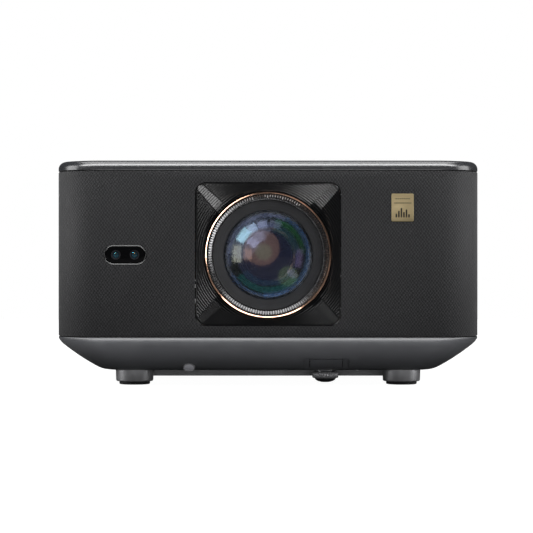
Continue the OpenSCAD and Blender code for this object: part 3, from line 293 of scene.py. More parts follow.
class Shade:
    """A Principled material with short calls for its nodes and links."""

    def __init__(self, name, colour=(0.5, 0.5, 0.5), roughness=0.5, metallic=0.0, **extra):
        self.material = bpy.data.materials.new(name)
        self.material.use_nodes = True
        self.tree = self.material.node_tree
        self.shader = self.tree.nodes["Principled BSDF"]
        self.coordinates = self.add("ShaderNodeTexCoord")
        self.colour, self.roughness, self.height = colour, roughness, None
        values = {"Base Color": (*colour, 1), "Roughness": roughness, "Metallic": metallic, **extra}
        for socket, value in values.items():
            self.put(self.shader, socket.replace("_", " "), value)

    def put(self, node, socket, value):
        if isinstance(value, bpy.types.NodeSocket):
            self.tree.links.new(value, node.inputs[socket])
        else:
            node.inputs[socket].default_value = value

    def add(self, kind, settings=None, **inputs):
        node = self.tree.nodes.new(kind)
        for key, value in (settings or {}).items():
            setattr(node, key, value)
        for socket, value in inputs.items():
            self.put(node, socket.replace("_", " "), value)
        return node

    def blend(self, kind, *values):
        """Node with its inputs given in order, wired straight to the material's surface."""
        node = self.add(kind)
        for i, value in enumerate(values):
            self.put(node, i, value)
        self.put(self.tree.nodes["Material Output"], "Surface", node.outputs[0])

    def math(self, operation, a, b=0.0):
        node = self.add("ShaderNodeMath", {"operation": operation})
        self.put(node, 0, a)
        self.put(node, 1, b)
        return node.outputs[0]

    def mixed(self, a, a_part, b, b_part):
        """Weighted sum of two patterns."""
        return self.math("ADD", self.math("MULTIPLY", a, a_part), self.math("MULTIPLY", b, b_part))

    def spread(self, value, low, high, start=0.0, end=1.0):
        node = self.add("ShaderNodeMapRange", Value=value, From_Min=start, From_Max=end, To_Min=low, To_Max=high)
        return node.outputs["Result"]

    def placed(self, stretch):
        return self.add("ShaderNodeMapping", Vector=self.coordinates.outputs["Object"], Scale=stretch).outputs[0]

    def noise(self, size_mm, detail=3.0, stretch=(1, 1, 1)):
        texture = self.add("ShaderNodeTexNoise", Vector=self.placed(stretch), Scale=1000 / size_mm, Detail=detail)
        return texture.outputs["Fac"]

    def cells(self, size_mm, stretch=(1, 1, 1), feature="F1"):
        texture = self.add("ShaderNodeTexVoronoi", {"feature": feature}, Vector=self.placed(stretch),
                           Scale=1000 / size_mm)
        return texture.outputs["Distance"]

    def pattern(self, source):
        """A noise from its (size, detail, stretch), or a socket as it is."""
        return self.noise(*source) if isinstance(source, tuple) else source

    def ramp(self, factor, stops):
        node = self.add("ShaderNodeValToRGB", Fac=factor)
        elements = node.color_ramp.elements
        while len(elements) < len(stops):
            elements.new(0.5)
        for element, (position, colour) in zip(elements, stops):
            element.position = position
            element.color = (*colour, 1)
        self.put(self.shader, "Base Color", node.outputs["Color"])
        return self

    def tint(self, source, dark, light):
        """Colour that varies about the base colour."""
        low = tuple(c * dark for c in self.colour)
        high = tuple(min(1, c * light) for c in self.colour)
        return self.ramp(self.pattern(source), [(0.3, low), (0.7, high)])

    def gloss(self, source, less, more):
        """Roughness that varies from a little under the base value to a little over it."""
        factor = self.pattern(source)
        varied = self.spread(factor, self.roughness - less, self.roughness + more, 0.3, 0.7)
        self.put(self.shader, "Roughness", varied)
        return self

    def bump(self, source, depth_mm, strength):
        node = self.add("ShaderNodeBump", Height=self.pattern(source), Distance=depth_mm * MM, Strength=strength)
        if self.height is not None:
            self.put(node, "Normal", self.height)
        self.height = node.outputs[0]
        self.put(self.shader, "Normal", self.height)
        return self


def painted(name, colour, roughness, grain_mm=0.5, depth_mm=0.02, metallic=0.0, cloud=0.05, **extra):
    """Sprayed coat: faint orange peel, cloudy gloss and fine flake."""
    shade = Shade(name, colour, roughness, metallic, **extra).tint((26, 2), 0.93, 1.08)
    return shade.gloss((9, 4), cloud, cloud).bump((grain_mm, 3), depth_mm, 0.4).material


def moulded(name, colour, roughness, grain_mm=0.45, depth_mm=0.04):
    """Spark-eroded plastic: small rounded pits with some wear."""
    shade = Shade(name, colour, roughness).tint((15, 5), 0.88, 1.15).gloss((4, 4), 0.07, 0.08)
    return shade.bump(shade.cells(grain_mm), depth_mm, 0.45).bump((grain_mm * 3, 4), depth_mm, 0.25).material


def brushed(name, colour, roughness, stretch):
    """Bare metal with fine scratches along one axis."""
    shade = Shade(name, colour, roughness, 1.0)
    lines = shade.noise(3, 6, stretch)
    return shade.tint(lines, 0.85, 1.12).gloss((6, 5, stretch), 0.08, 0.12).bump(lines, 0.015, 0.3).material


def lens_rings(shade, pitch_mm):
    """Distance from the optical axis as fine turned rings, 0 to 1."""
    mapping = shade.add("ShaderNodeMapping", Vector=shade.coordinates.outputs["Object"],
                        Location=(-AXIS.x * MM, 0, -AXIS.z * MM), Scale=(1, 0, 1))
    length = shade.add("ShaderNodeVectorMath", {"operation": "LENGTH"})
    shade.put(length, 0, mapping.outputs[0])
    turns = shade.math("MULTIPLY", length.outputs["Value"], 2 * pi / (pitch_mm * MM))
    return shade.spread(shade.math("SINE", turns), 0, 1, -1, 1)


def turned(name, colour, roughness, pitch_mm, depth_mm, metallic=1.0):
    """Anodised or polished metal with lathe marks round the optical axis."""
    shade = Shade(name, colour, roughness, metallic).tint((5, 4), 0.9, 1.1).gloss((2, 4), 0.05, 0.07)
    return shade.bump(lens_rings(shade, pitch_mm), depth_mm, 0.3).material


def leatherette(name):
    """Fine diagonal grain laid along the wrap's own length and height."""
    shade = Shade(name, (0.02, 0.02, 0.021), 0.6, Sheen_Weight=0.12, Sheen_Roughness=0.5, Specular_IOR_Level=0.28)
    split = shade.add("ShaderNodeSeparateXYZ", Vector=shade.coordinates.outputs["UV"])
    wander = shade.spread(shade.noise(2.6, 3), -3.4, 3.4)
    rise = shade.math("MULTIPLY", split.outputs["Y"], 2 * pi / 2.6)
    along = shade.math("MULTIPLY", split.outputs["X"], 2 * pi / 2.0)
    first, second = (shade.math("SINE", shade.math("ADD", shade.math(way, along, rise), wander))
                     for way in ("ADD", "SUBTRACT"))
    weave = shade.spread(shade.math("ADD", first, second), 0, 1, -2, 2)
    pores = shade.noise(0.5, 3)
    shade.ramp(shade.mixed(weave, 0.6, pores, 0.5), [
        (0.2, (0.008, 0.008, 0.0085)), (0.5, (0.018, 0.018, 0.019)), (0.85, (0.036, 0.036, 0.038))])
    shade.gloss(shade.mixed(weave, 0.5, shade.noise(18, 4), 0.5), -0.06, -0.08)
    return shade.bump(weave, 0.3, 0.6).bump(pores, 0.08, 0.5).material


def coated_glass(name, tint, strength, roughness=0.015):
    """Thin reflecting coat: see-through, with a coloured Fresnel reflection."""
    shade = Shade(name)
    for unused in (shade.shader, shade.coordinates):
        shade.tree.nodes.remove(unused)
    clear = shade.add("ShaderNodeBsdfTransparent", Color=(0.93, 0.95, 0.98, 1))
    glossy = shade.add("ShaderNodeBsdfGlossy", Color=(*tint, 1), Roughness=roughness)
    edge = shade.add("ShaderNodeLayerWeight", Blend=0.25)
    amount = shade.spread(edge.outputs["Fresnel"], strength, min(1.0, strength * 4))
    shade.blend("ShaderNodeMixShader", amount, clear.outputs[0], glossy.outputs[0])
    return shade.material


# ---- Mesh building blocks ----

def new_object(name, verts, faces):
    mesh = bpy.data.meshes.new(name)
    mesh.from_pydata([Vector(v) * MM for v in verts], [], faces)
    work = bmesh.new()
    work.from_mesh(mesh)
    bmesh.ops.remove_doubles(work, verts=work.verts, dist=1e-6)
    bmesh.ops.dissolve_degenerate(work, edges=work.edges, dist=1e-7)
    bmesh.ops.recalc_face_normals(work, faces=work.faces)
    work.to_mesh(mesh)
    work.free()
    return linked(name, mesh)


def loft(name, rings, close=False):
    """Skin through rings of equal length; an open loft gets end caps, a closed one joins its ends."""
    count = len(rings[0])
    faces = []
    for i in range(len(rings) if close else len(rings) - 1):
        a, b = i * count, (i + 1) % len(rings) * count
        faces += [(a + j, a + (j + 1) % count, b + (j + 1) % count, b + j) for j in range(count)]
    if not close:
        last = (len(rings) - 1) * count
        faces += [tuple(range(count)), tuple(range(last, last + count))]
    return new_object(name, [p for ring in rings for p in ring], faces)


def around(count):
    """Angles that share a full turn."""
    return [2 * pi * i / count for i in range(count)]


def lathe(name, profile, centre=(0, 0, 0), axis=Y, segments=160, close=True):
    """Turns (radius, distance) points round an axis through a centre."""
    turn, centre = Z.rotation_difference(axis), Vector(centre)
    angles = around(segments)
    return loft(name, [[centre + turn @ Vector((radius * cos(a), radius * sin(a), distance))
                        for a in angles] for radius, distance in profile], close)


def drill(radius, start, end, place, axis=Z, segments=160):
    """Cylinder between two stations, for cutting a hole."""
    return lathe("hole", [(0, start), (radius, start), (radius, end), (0, end)], place, axis, segments, False)


def rounded_rect(width, height, radius, steps=12):
    """Outline of a rounded rectangle about the origin, as (u, v) points."""
    points = []
    for quarter, (su, sv) in enumerate([(1, 1), (-1, 1), (-1, -1), (1, -1)]):
        for i in range(steps + 1):
            angle = radians(90 * (quarter + i / steps))
            points.append((su * (width / 2 - radius) + radius * cos(angle),
                           sv * (height / 2 - radius) + radius * sin(angle)))
    return points


def prism(name, outline, start, end, place=(0, 0, 0), facing=Z):
    """Straight prism of a (u, v) outline along X, Y or Z, between two stations."""
    u_axis, v_axis = {tuple(X): (Y, Z), tuple(Y): (X, Z), tuple(Z): (X, Y)}[tuple(facing)]
    origin = Vector(place)
    return loft(name, [[origin + u_axis * u + v_axis * v + facing * w for u, v in outline] for w in (start, end)])


def evaluated_mesh(obj):
    return bpy.data.meshes.new_from_object(obj.evaluated_get(bpy.context.evaluated_depsgraph_get()))


def apply_modifiers(obj):
    old, mesh = obj.data, evaluated_mesh(obj)
    obj.modifiers.clear()
    obj.data = mesh
    bpy.data.meshes.remove(old)
    return obj


def cut(obj, *cutters):
    for cutter in cutters:
        step = obj.modifiers.new("cut", "BOOLEAN")
        step.object = cutter
        step.operation = "DIFFERENCE"
        step.solver = "EXACT"
        apply_modifiers(obj)
        bpy.data.objects.remove(cutter)
    return obj


def bevel(obj, width_mm, segments=3, angle=40):
    step = obj.modifiers.new("bevel", "BEVEL")
    step.width = width_mm * MM
    step.segments = segments
    step.limit_method = "ANGLE"
    step.angle_limit = radians(angle)
    return apply_modifiers(obj)


def join(name, objects):
    work = bmesh.new()
    for obj in objects:
        obj.data.transform(obj.matrix_world)
        work.from_mesh(obj.data)
        bpy.data.objects.remove(obj)
    mesh = bpy.data.meshes.new(name)
    work.to_mesh(mesh)
    work.free()
    return linked(name, mesh)


def finish(obj, slot, *replaced, body="chassis", angle=35, material=None):
    """Shades a piece, gives it its slot's material or one of its own, and puts it on its body."""
    obj.data.shade_smooth()
    obj.data.set_sharp_from_angle(angle=radians(angle))
    obj.data.materials.clear()
    obj.data.materials.append(material or finishes[slot])
    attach(obj, body)
    if replaced:
        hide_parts(*replaced)
    return obj


def size_of(node):
    """Centre and size of a CAD node, in millimetres."""
    low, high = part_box(node)
    return (low + high) / 2 / MM, (high - low) / MM


def upright(node):
    """Place of a CAD node on the floor, with its bottom and top heights, in millimetres."""
    centre, size = size_of(node)
    return Vector((centre.x, centre.y, 0)), centre.z - size.z / 2, centre.z + size.z / 2


def depth_of(node):
    """Front and back of a CAD node along Y, in millimetres."""
    centre, size = size_of(node)
    return centre.y - size.y / 2, centre.y + size.y / 2


# ---- Body shells ----

CORNER = 28.0
body_centre, body_size = size_of("wrap_skin")
FRONT, BACK = depth_of("wrap_skin")


def body_ring(inset, z, radius):
    outline = rounded_rect(body_size.x - 2 * inset, body_size.y - 2 * inset, radius, 16)
    return [Vector((u, v, z)) for u, v in outline]


def rounded_levels(points, passes=2):
    """Chaikin corner cutting that keeps both ends."""
    for _ in range(passes):
        smoothed = [points[0]]
        for a, b in zip(points, points[1:]):
            smoothed += [tuple(0.75 * p + 0.25 * q for p, q in zip(a, b)),
                         tuple(0.25 * p + 0.75 * q for p, q in zip(a, b))]
        points = smoothed + [points[-1]]
    return points


def shell(name, outer, inner):
    """Body-shaped shell between outer and inner levels of (inset, height, corner radius)."""
    solid = loft(name, [body_ring(*level) for level in outer])
    hollow = loft(name + "_hollow", [body_ring(*level) for level in inner])
    return cut(solid, hollow)


def add_lid():
    top, bottom = cad_high.z / MM - 0.5, body_centre.z + body_size.z / 2 + 0.4
    edge_r = 4.6
    outer = [(0.25, bottom, CORNER), (0, bottom + 0.3, CORNER)]
    for i in range(13):
        angle = radians(90 * i / 12)
        inset = edge_r * (1 - cos(angle))
        outer.append((inset, top - 0.8 - edge_r * (1 - sin(angle)), CORNER - inset))
    outer += [(9, top - 0.52, 19), (14, top - 0.3, 16), (24, top - 0.14, 14), (40, top, 12)]
    inner = [(2.4, bottom - 1, CORNER - 2.4), (2.6, top - 4.4, CORNER - 3), (6, top - 2.6, CORNER - 6)]
    lid = shell("lid_shell", outer, inner)
    centre, size = size_of("control_panel")
    cut(lid, prism("hole", rounded_rect(size.x + 0.4, size.y + 0.4, 12), bottom - 2, top + 2,
                   (centre.x, centre.y, 0)))
    finish(lid, "lid_metal", "top_cover", angle=28)


def run_length(x, y):
    """Distance along the wrap's outline from the middle of the front."""
    half_w, half_d = body_size.x / 2 - CORNER, body_size.y / 2 - CORNER
    side, x = (1, x) if x >= 0 else (-1, -x)
    quarter = CORNER * pi / 2
    if x <= half_w:
        length = x if y < 0 else 2 * (half_w + quarter + half_d) - x
    elif y < -half_d:
        length = half_w + CORNER * atan2(x - half_w, -(y + half_d))
    elif y <= half_d:
        length = half_w + quarter + y + half_d
    else:
        length = half_w + quarter + 2 * half_d + CORNER * atan2(y - half_d, x - half_w)
    return side * length


def unroll(obj):
    """UVs in millimetres: length round the body, and height."""
    mesh = obj.data
    layer = mesh.uv_layers.new(name="wrap")
    whole = 4 * (body_size.x / 2 - CORNER + body_size.y / 2 - CORNER) + 2 * pi * CORNER
    for face in mesh.polygons:
        corners = [mesh.vertices[mesh.loops[i].vertex_index].co / MM for i in face.loop_indices]
        lengths = [run_length(c.x, c.y) for c in corners]
        if max(lengths) - min(lengths) > whole / 2:
            lengths = [v + whole if v < 0 else v for v in lengths]
        for i, corner, length in zip(face.loop_indices, corners, lengths):
            layer.data[i].uv = (length, corner.z)


recess_centre, recess_size = size_of("lens_bezel")
RECESS_W = recess_size.x - 6
RECESS_H = recess_size.z - 5
RECESS_R = 6.7
REAR_CENTRE = Vector((0, 0, 85))
REAR_W, REAR_H = 200.4, 96.4


def add_wrap():
    _, low, high = upright("wrap_skin")
    levels = [(1, low), (0.35, low), (0, low + 0.4), (0, high - 0.4), (0.35, high), (1, high)]
    wrap = loft("leatherette_wrap", [body_ring(inset, z, CORNER - inset) for inset, z in levels], close=True)

    def opening(centre, width, height, radius, steps=12, wall=FRONT):
        return prism("opening", rounded_rect(width, height, radius, steps), wall - 3, wall + 3,
                     (centre.x, 0, centre.z), Y)

    pill_centre, pill_size = size_of("sensor_frame")
    badge_centre, badge_size = size_of("badge_plate")
    grille_centre, grille_size = size_of("side_grilles")
    cut(wrap,
        opening(recess_centre, RECESS_W + 0.5, RECESS_H + 0.5, RECESS_R + 0.2),
        opening(pill_centre, pill_size.x + 0.4, pill_size.z + 0.4, pill_size.z / 2 + 0.15, 16),
        opening(badge_centre, badge_size.x + 0.3, badge_size.z + 0.3, 0.9, 4),
        prism("sides", rounded_rect(grille_size.y + 0.4, grille_size.z + 0.4, 10), -140, 140,
              (0, grille_centre.y, grille_centre.z), X),
        opening(REAR_CENTRE, REAR_W, REAR_H, 6, wall=BACK))
    unroll(wrap)
    finish(wrap, "leatherette", "wrap_skin", angle=50)


SLOPE_RUN, SLOPE_RISE = 27, 22
SLOPE = atan2(SLOPE_RISE, SLOPE_RUN)
TAB_Z = 13.6


def on_slope(obj, centre):
    """Turns a piece built about the origin so that its +Z leaves the sloping front of the base."""
    obj.data.transform(Matrix.Translation(Vector(centre) * MM) @ Matrix.Rotation(pi - SLOPE, 4, "X"))
    return obj


def slope_point(x, z):
    """Point on the sloping front at a height."""
    base_top = body_centre.z - body_size.z / 2 - 0.2
    return Vector((x, FRONT + (base_top - z) * SLOPE_RUN / SLOPE_RISE - 2.2, z))


tab_x = size_of("elevator_leg")[0].x


def add_base():
    top = body_centre.z - body_size.z / 2 - 0.4
    bottom = 9.7
    outer = [(0.3, top, 0), (0, top - 0.4, 0), (0.2, top - 1.4, 0), (1.5, top - 3.4, 1), (3.6, top - 5.5, 2),
             (8.6, top - 9.6, 4), (14.8, top - 14.2, 7), (20.2, top - 17.8, 9), (24.5, top - 20.4, 11),
             (27.6, bottom + 0.4, 12), (30.4, bottom, 14)]
    inner = [(2.8, top + 0.5, 3), (5.5, top - 4.4, 4), (29, bottom + 2.7, 14)]
    outer, inner = ([(inset, z, CORNER - less) for inset, z, less in levels] for levels in (outer, inner))
    tub = shell("base_tub", rounded_levels(outer), inner)
    tab = slope_point(tab_x, TAB_Z)
    cut(tub,
        on_slope(prism("pocket", rounded_rect(29.6, 14.6, 1.6), -1.4, 7), tab),
        on_slope(prism("mouth", rounded_rect(21.6, 9.2, 0.8), -7, 7), tab),
        on_slope(drill(4.05, -4, 4, (0, 0, 0)), ir_point()),
        drill(8.5, 5, 14, upright("elevator_sleeve")[0]),
        drill(0.85, 5, 14, upright("status_led")[0], segments=32),
        *(prism("window", rounded_rect(96, 28, 4), 5, 14, (0, side * 30, 0)) for side in (-1, 1)),
        *(drill(3, 5, 11.4, (sx * 99, sy * 50, 0), segments=32) for sx in (-1, 1) for sy in (-1, 1)))
    finish(tub, "base_paint", "base_shell", angle=32)


def ir_point():
    return slope_point(size_of("ir_window")[0].x, 11.6)


# ---- Lens group ----

lens_centre, lens_size = size_of("front_lens")
AXIS = Vector((lens_centre.x, 0, lens_centre.z))
GLASS_APEX = lens_centre.y - lens_size.y / 2
RING_R = size_of("lens_trim_ring")[1].x / 2
RING_FRONT = depth_of("lens_trim_ring")[0]


def edge_distance(u, v, width, height, radius):
    """How far a point lies inside a rounded square whose corner bands keep their width."""
    a = abs(u) - (width / 2 - radius)
    b = abs(v) - (height / 2 - radius)
    if abs(a - b) >= radius:
        return radius - max(a, b)
    return (sqrt(2 * radius * radius - (a - b) ** 2) - (a + b)) / 2


def funnel_depth(u, v, width, height, radius):
    """Distance inside a rounded square whose corners carry flat bands that widen inwards."""
    a = abs(u) - (width / 2 - radius)
    b = abs(v) - (height / 2 - radius)
    band = (sqrt(2) * radius - a - b) * 0.47
    return max(0, min(radius - a, radius - b, band))


def reach(angle, width, height, radius):
    """Distance from the axis to a rounded square's edge along an angle."""
    near, far = 0.0, width
    lift = recess_centre.z - lens_centre.z
    for _ in range(40):
        middle = (near + far) / 2
        inside = edge_distance(middle * cos(angle), middle * sin(angle) - lift, width, height, radius) > 0
        near, far = (middle, far) if inside else (near, middle)
    return near


def add_bezel():
    """Square funnel with turned ridges, sampled round the optical axis."""
    fall, pitch, rim = 0.49, 1.45, 0.9
    step = pitch / 5
    angles = around(720)
    inner_w, inner_h = RECESS_W - 2 * rim, RECESS_H - 2 * rim
    hole_r = RING_R + 0.15
    lift = recess_centre.z - lens_centre.z

    def outline(inset, y):
        radius = RECESS_R - min(inset, 1.5)
        return [round_axis(reach(a, RECESS_W - 2 * inset, RECESS_H - 2 * inset, radius), y, a) for a in angles]

    rings = [outline(inset, FRONT + y) for inset, y in [(0, 5), (0, 0.2), (0.2, -0.05), (0.6, -0.05), (rim, 0.3)]]
    limits = [reach(a, inner_w, inner_h, RECESS_R - rim) for a in angles]
    count = int((max(limits) - hole_r) / step)
    for k in range(count, -1, -1):
        ring = []
        for angle, limit in zip(angles, limits):
            radius = min(hole_r + k * step, limit)
            u, v = radius * cos(angle), radius * sin(angle)
            depth = funnel_depth(u, v - lift, inner_w, inner_h, RECESS_R - rim) * fall
            fade = min(1, (limit - radius) / 0.8)
            ridge = 0.085 * cos(2 * pi * (radius - hole_r) / pitch) * fade
            ring.append(round_axis(radius, FRONT + 0.3 + depth + ridge, angle))
        rings.append(ring)
    rings.append([round_axis(hole_r, FRONT + 14, a) for a in angles])
    finish(loft("ridged_bezel", rings, close=True), "gloss_black", "lens_bezel", angle=60,
           material=gloss_black("bezel_black", (0.005, 0.005, 0.0055), 0.2))


def add_trim_ring():
    """Thin ring whose face leans outwards, so that it mirrors what stands beside the lens."""
    thickness, steps, back = 1.05, 8, FRONT + 15
    profile = [(RING_R - thickness, back), (RING_R - thickness, RING_FRONT + 0.2)]
    depth = RING_FRONT
    stride = (thickness - 0.25) / steps
    for i in range(steps + 1):
        lean = radians(14 + 28 * i / steps)
        depth += stride * tan(lean) if i else 0
        profile.append((RING_R - thickness + 0.15 + stride * i, depth))
    profile += [(RING_R, depth + 0.2), (RING_R, back)]
    finish(lathe("copper_ring", profile, AXIS, Y, 256), "copper", "lens_trim_ring", angle=24)
    # Two thin black tubes hug the ring's outer and inner walls behind its face. They are painted shadow: dark
    # sheets that keep the gaps beside the ring dark.
    depth += 0.1
    gap_shadow_tubes = [lathe("sleeve", [(radius, depth), (radius + 0.08, depth), (radius + 0.08, back), (radius, back)],
                     AXIS, Y, 256) for radius in (RING_R + 0.02, RING_R - thickness - 0.1)]
    finish(join("ring_sleeves", gap_shadow_tubes), "index_black", angle=30, material=finishes["pad_rubber"])


INDEX_OUT = 38.6
INDEX_IN = 35.0
INDEX_TEETH = 144


def add_index_ring():
    """Serrated scale ring, with painted ticks on two short stretches of its teeth."""
    per_tooth = 8
    samples = INDEX_TEETH * per_tooth
    stations = [(INDEX_OUT, 15, 0), (INDEX_OUT, 1.5, 0), (38.3, 1.4, 0), (38.1, 1.3, 1), (35.9, 0.4, 1),
                (35.6, 0.3, 0), (INDEX_IN + 0.2, 0.4, 0), (INDEX_IN + 0.1, 15, 0)]
    groove = [0, 0, 0, 0, 0.35, 0.6, 0.6, 0.35]
    rings = [[round_axis(radius, RING_FRONT + depth + toothed * groove[i % per_tooth], angle)
              for i, angle in enumerate(around(samples))] for radius, depth, toothed in stations]
    finish(loft("index_scale_ring", rings, close=True), "index_black", "index_ring")
    marks = []
    for i in range(INDEX_TEETH):
        place = 360 * i / INDEX_TEETH
        if not (56 < place < 93 or 104 < place < 113):
            continue
        inner, half = (36.2, 0.3) if i % 6 == 0 else (36.8, 0.25)
        angle = 2 * pi * (i * per_tooth + 1.5) / samples
        across = Vector((-sin(angle), 0, cos(angle))) * half
        corners = [round_axis(radius, RING_FRONT + 0.4 + (radius - 35.9) * 0.9 / 2.2, angle) + across * side
                   for radius, side in [(37.9, -1), (37.9, 1), (inner, 1), (inner, -1)]]
        marks.append(loft("mark", [corners, [c - Y * 0.06 for c in corners]]))
    finish(join("index_marks", marks), "index_black", material=light_ink)


def add_hood():
    outer, inner, steps, fall = 34.85, 28.5, 4, 3.7
    start = depth_of("lens_hood")[0] - 0.1
    drop, tread = fall / steps, (outer - 0.3 - inner) / steps
    profile = [(outer, FRONT + 16), (outer, start - 0.1)]
    for i in range(steps):
        near, y = outer - 0.3 - tread * i, start + drop * i
        far = near - tread
        profile += [(near, y), (near - 0.1, y + 0.12), (far + 0.25, y + drop * 0.75), (far + 0.1, y + drop)]
    profile += [(inner, start + fall + 0.2), (inner, FRONT + 16)]
    finish(lathe("hood_cone", profile, AXIS, Y, 256), "index_black", "lens_hood", angle=40,
           material=moulded("cone_satin", (0.052, 0.052, 0.054), 0.42, 0.3, 0.015))


def arc_profile(radius, vertex, ball_r, steps=24):
    """Meridian of a spherical surface; a positive ball bulges towards the front."""
    points = []
    for i in range(steps + 1):
        r = radius * i / steps
        sag = abs(ball_r) - sqrt(ball_r * ball_r - r * r)
        points.append((r, vertex + copysign(sag, ball_r)))
    return points


def element(name, radius, front, front_ball, back, back_ball, coat, *replaced, body="chassis"):
    profile = arc_profile(radius, front, front_ball) + list(reversed(arc_profile(radius, back, back_ball)))
    piece = lathe(name, profile, AXIS, Y, 128, close=False)
    finish(piece, "coated_glass", *replaced, body=body, angle=30, material=coated_glass(*coat))


def add_glass():
    element("front_element", GLASS_R, GLASS_APEX, GLASS_BALL, GLASS_APEX + 1.6, GLASS_BALL,
            ("front_coating", (0.85, 0.93, 1.0), 0.04, 0.1), "front_lens")
    element("second_element", 20, GLASS_APEX + 6.5, 35, GLASS_APEX + 9.5, 40,
            ("amber_coating", (1.0, 0.66, 0.42), 0.035, 0.03))
    cell = depth_of("focus_lens")[0]
    element("focus_element", 27, cell + 7.4, -52, cell + 9, -60, ("lime_coating", (0.8, 1.0, 0.45), 0.03, 0.03),
            "focus_lens", body="focus_carrier")
    back = depth_of("lens_barrel")[1]
    element("rear_element", 17, back - 30, 34, back - 24, -50, ("violet_coating", (0.62, 0.42, 1.0), 0.08, 0.03))


def add_barrel_rings():
    """Retaining rings and stepped light baffles inside the fixed barrel."""
    start, end = depth_of("lens_barrel")
    keeper = [(30.4, 0.4), (27.2, 0.4), (25.8, 1.6), (25.6, 3.4), (26.4, 7.6), (30.4, 7.6)]
    finish(lathe("keeper_ring", [(r, start + y) for r, y in keeper], AXIS, Y, 160), "index_black")
    first = depth_of("focus_cell")[1] + 4.5
    steps = 6
    tread = (end - 12 - first) / steps
    profile = [(30.4, end - 2), (30.4, first)]
    for i in range(steps):
        r, y = 29 - 12 * i / steps, first + tread * i
        profile += [(r, y), (r - 0.3, y + 0.3), (r - 0.6, y + tread - 0.2)]
    profile += [(16, end - 11), (16, end - 2)]
    finish(lathe("barrel_baffles", profile, AXIS, Y, 160), "index_black")
    screen = drill(15.8, end - 5, end - 3, AXIS, Y, 96)
    screen.name = "deep_stop"
    finish(screen, "index_black", material=painted("deep_blue", (0.006, 0.01, 0.02), 0.3))


# ---- Front details ----

def add_sensor():
    centre, size = size_of("sensor_frame")
    front = centre.y - size.y / 2

    def pill(width, height, levels):
        return [[Vector((centre.x + u, front + depth, centre.z + v)) for u, v in
                 rounded_rect(width - 2 * inset, height - 2 * inset, height / 2 - inset - 0.01, 24)]
                for inset, depth in levels]

    bead = [(0, 6), (0, 0.55), (0.16, 0.16), (0.45, 0), (0.72, 0.14), (0.9, 0.5), (0.95, 6)]
    finish(loft("sensor_bead", pill(size.x, size.z, bead), close=True), "gloss_black", "sensor_frame", angle=60)
    crown = [(0, 1.6), (0, 0.75), (0.25, 0.55), (1.2, 0.42), (3, 0.36)]
    pane = loft("sensor_pane", pill(size.x - 2.1, size.z - 2.1, crown))
    camera_size = size_of("sensor_cameras")[1]
    apart = (camera_size.x - camera_size.z) / 2
    eyes = [Vector((centre.x + side * apart, 0, centre.z)) for side in (-1, 1)]
    cut(pane, *(drill(3.05, FRONT - 2, FRONT + 4, eye, Y, 64) for eye in eyes))
    finish(pane, "sensor_glass", "sensor_window", angle=40)
    add_cameras(eyes, front)


def add_cameras(eyes, front):
    def pair(name, profile, segments=64, close=False):
        profile = [(radius, front + depth) for radius, depth in profile]
        return join(name, [lathe("eye", profile, eye, Y, segments, close) for eye in eyes])

    barrel = [(3.0, 0.7), (2.5, 0.8), (2.2, 1.4), (1.5, 1.6), (1.3, 2.4), (1.0, 2.5), (0.8, 3.6), (0, 3.6), (0, 5),
              (3.0, 5)]
    finish(pair("camera_barrels", barrel, close=True), "sensor_parts", "sensor_cameras", angle=30)
    dome = [(0, 0.75), (0.9, 0.85), (1.7, 1.15), (2.3, 1.6), (0, 1.7)]
    finish(pair("camera_domes", dome), "sensor_glass",
           material=coated_glass("camera_coating", (0.25, 0.75, 1.0), 0.35))
    inner = [(0, 2.1), (0.6, 2.0), (1.2, 1.85), (1.2, 2.3), (0, 2.4)]
    finish(pair("camera_inner_lenses", inner, 48), "sensor_glass",
           material=coated_glass("camera_inner_coating", (1.0, 0.5, 0.2), 0.45, 0.05))


def add_badge():
    """Plain gold plate with a dividing line and a row of level bars."""
    centre, size = size_of("badge_plate")
    front = centre.y - size.y / 2
    plate = prism("badge_plate_gold", rounded_rect(size.x, size.z, 0.8, 6), front + 0.05, FRONT + 1,
                  (centre.x, 0, centre.z), Y)
    finish(bevel(plate, 0.18), "badge_gold", "badge_plate")
    bars = [(size.x - 3, 0.35, 0.1, 2, 0, 2.9)]
    bars += [(0.95, height, 0.3, 3, (i - 2.5) * 1.6, height / 2 - 6.2)
             for i, height in enumerate([2.4, 4.2, 6.0, 3.4, 5.0, 2.0])]
    bars += [(0.8, 0.55, 0.15, 2, (i - 3) * 1.35, 5.6) for i in range(7)]
    marks = [prism("bar", rounded_rect(width, height, corner, steps), front - 0.01, front + 0.1,
                   (centre.x + x, 0, centre.z + z), Y) for width, height, corner, steps, x, z in bars]
    finish(join("badge_marks", marks), "badge_gold", material=print_ink("dark_ink", (0.03, 0.026, 0.02), 0.35))


def add_ir_window():
    rim = [(4.0, -3), (4.0, 0.12), (3.8, 0.25), (3.5, 0.2), (3.35, 0), (3.3, -3)]
    finish(on_slope(lathe("ir_rim", rim, axis=Z, segments=96), ir_point()), "sensor_glass", "ir_window",
           angle=40, material=finishes["foot_metal"])
    dome = [(0, 0.1), (1.2, 0.06), (2.4, -0.04), (3.3, -0.2), (3.3, -2), (0, -2)]
    finish(on_slope(lathe("ir_lens", dome, axis=Z, segments=96, close=False), ir_point()), "sensor_glass",
           material=gloss_black("ir_grey", (0.24, 0.24, 0.26), 0.4))


def add_tab():
    """Bevelled face of the release tab, in its pocket."""
    plate = prism("tab_face", rounded_rect(21.1, 8.7, 0.7, 6), -3.4, -0.85)
    finish(on_slope(bevel(plate, 0.5, 4), slope_point(tab_x, TAB_Z)), "base_paint", body="tab")


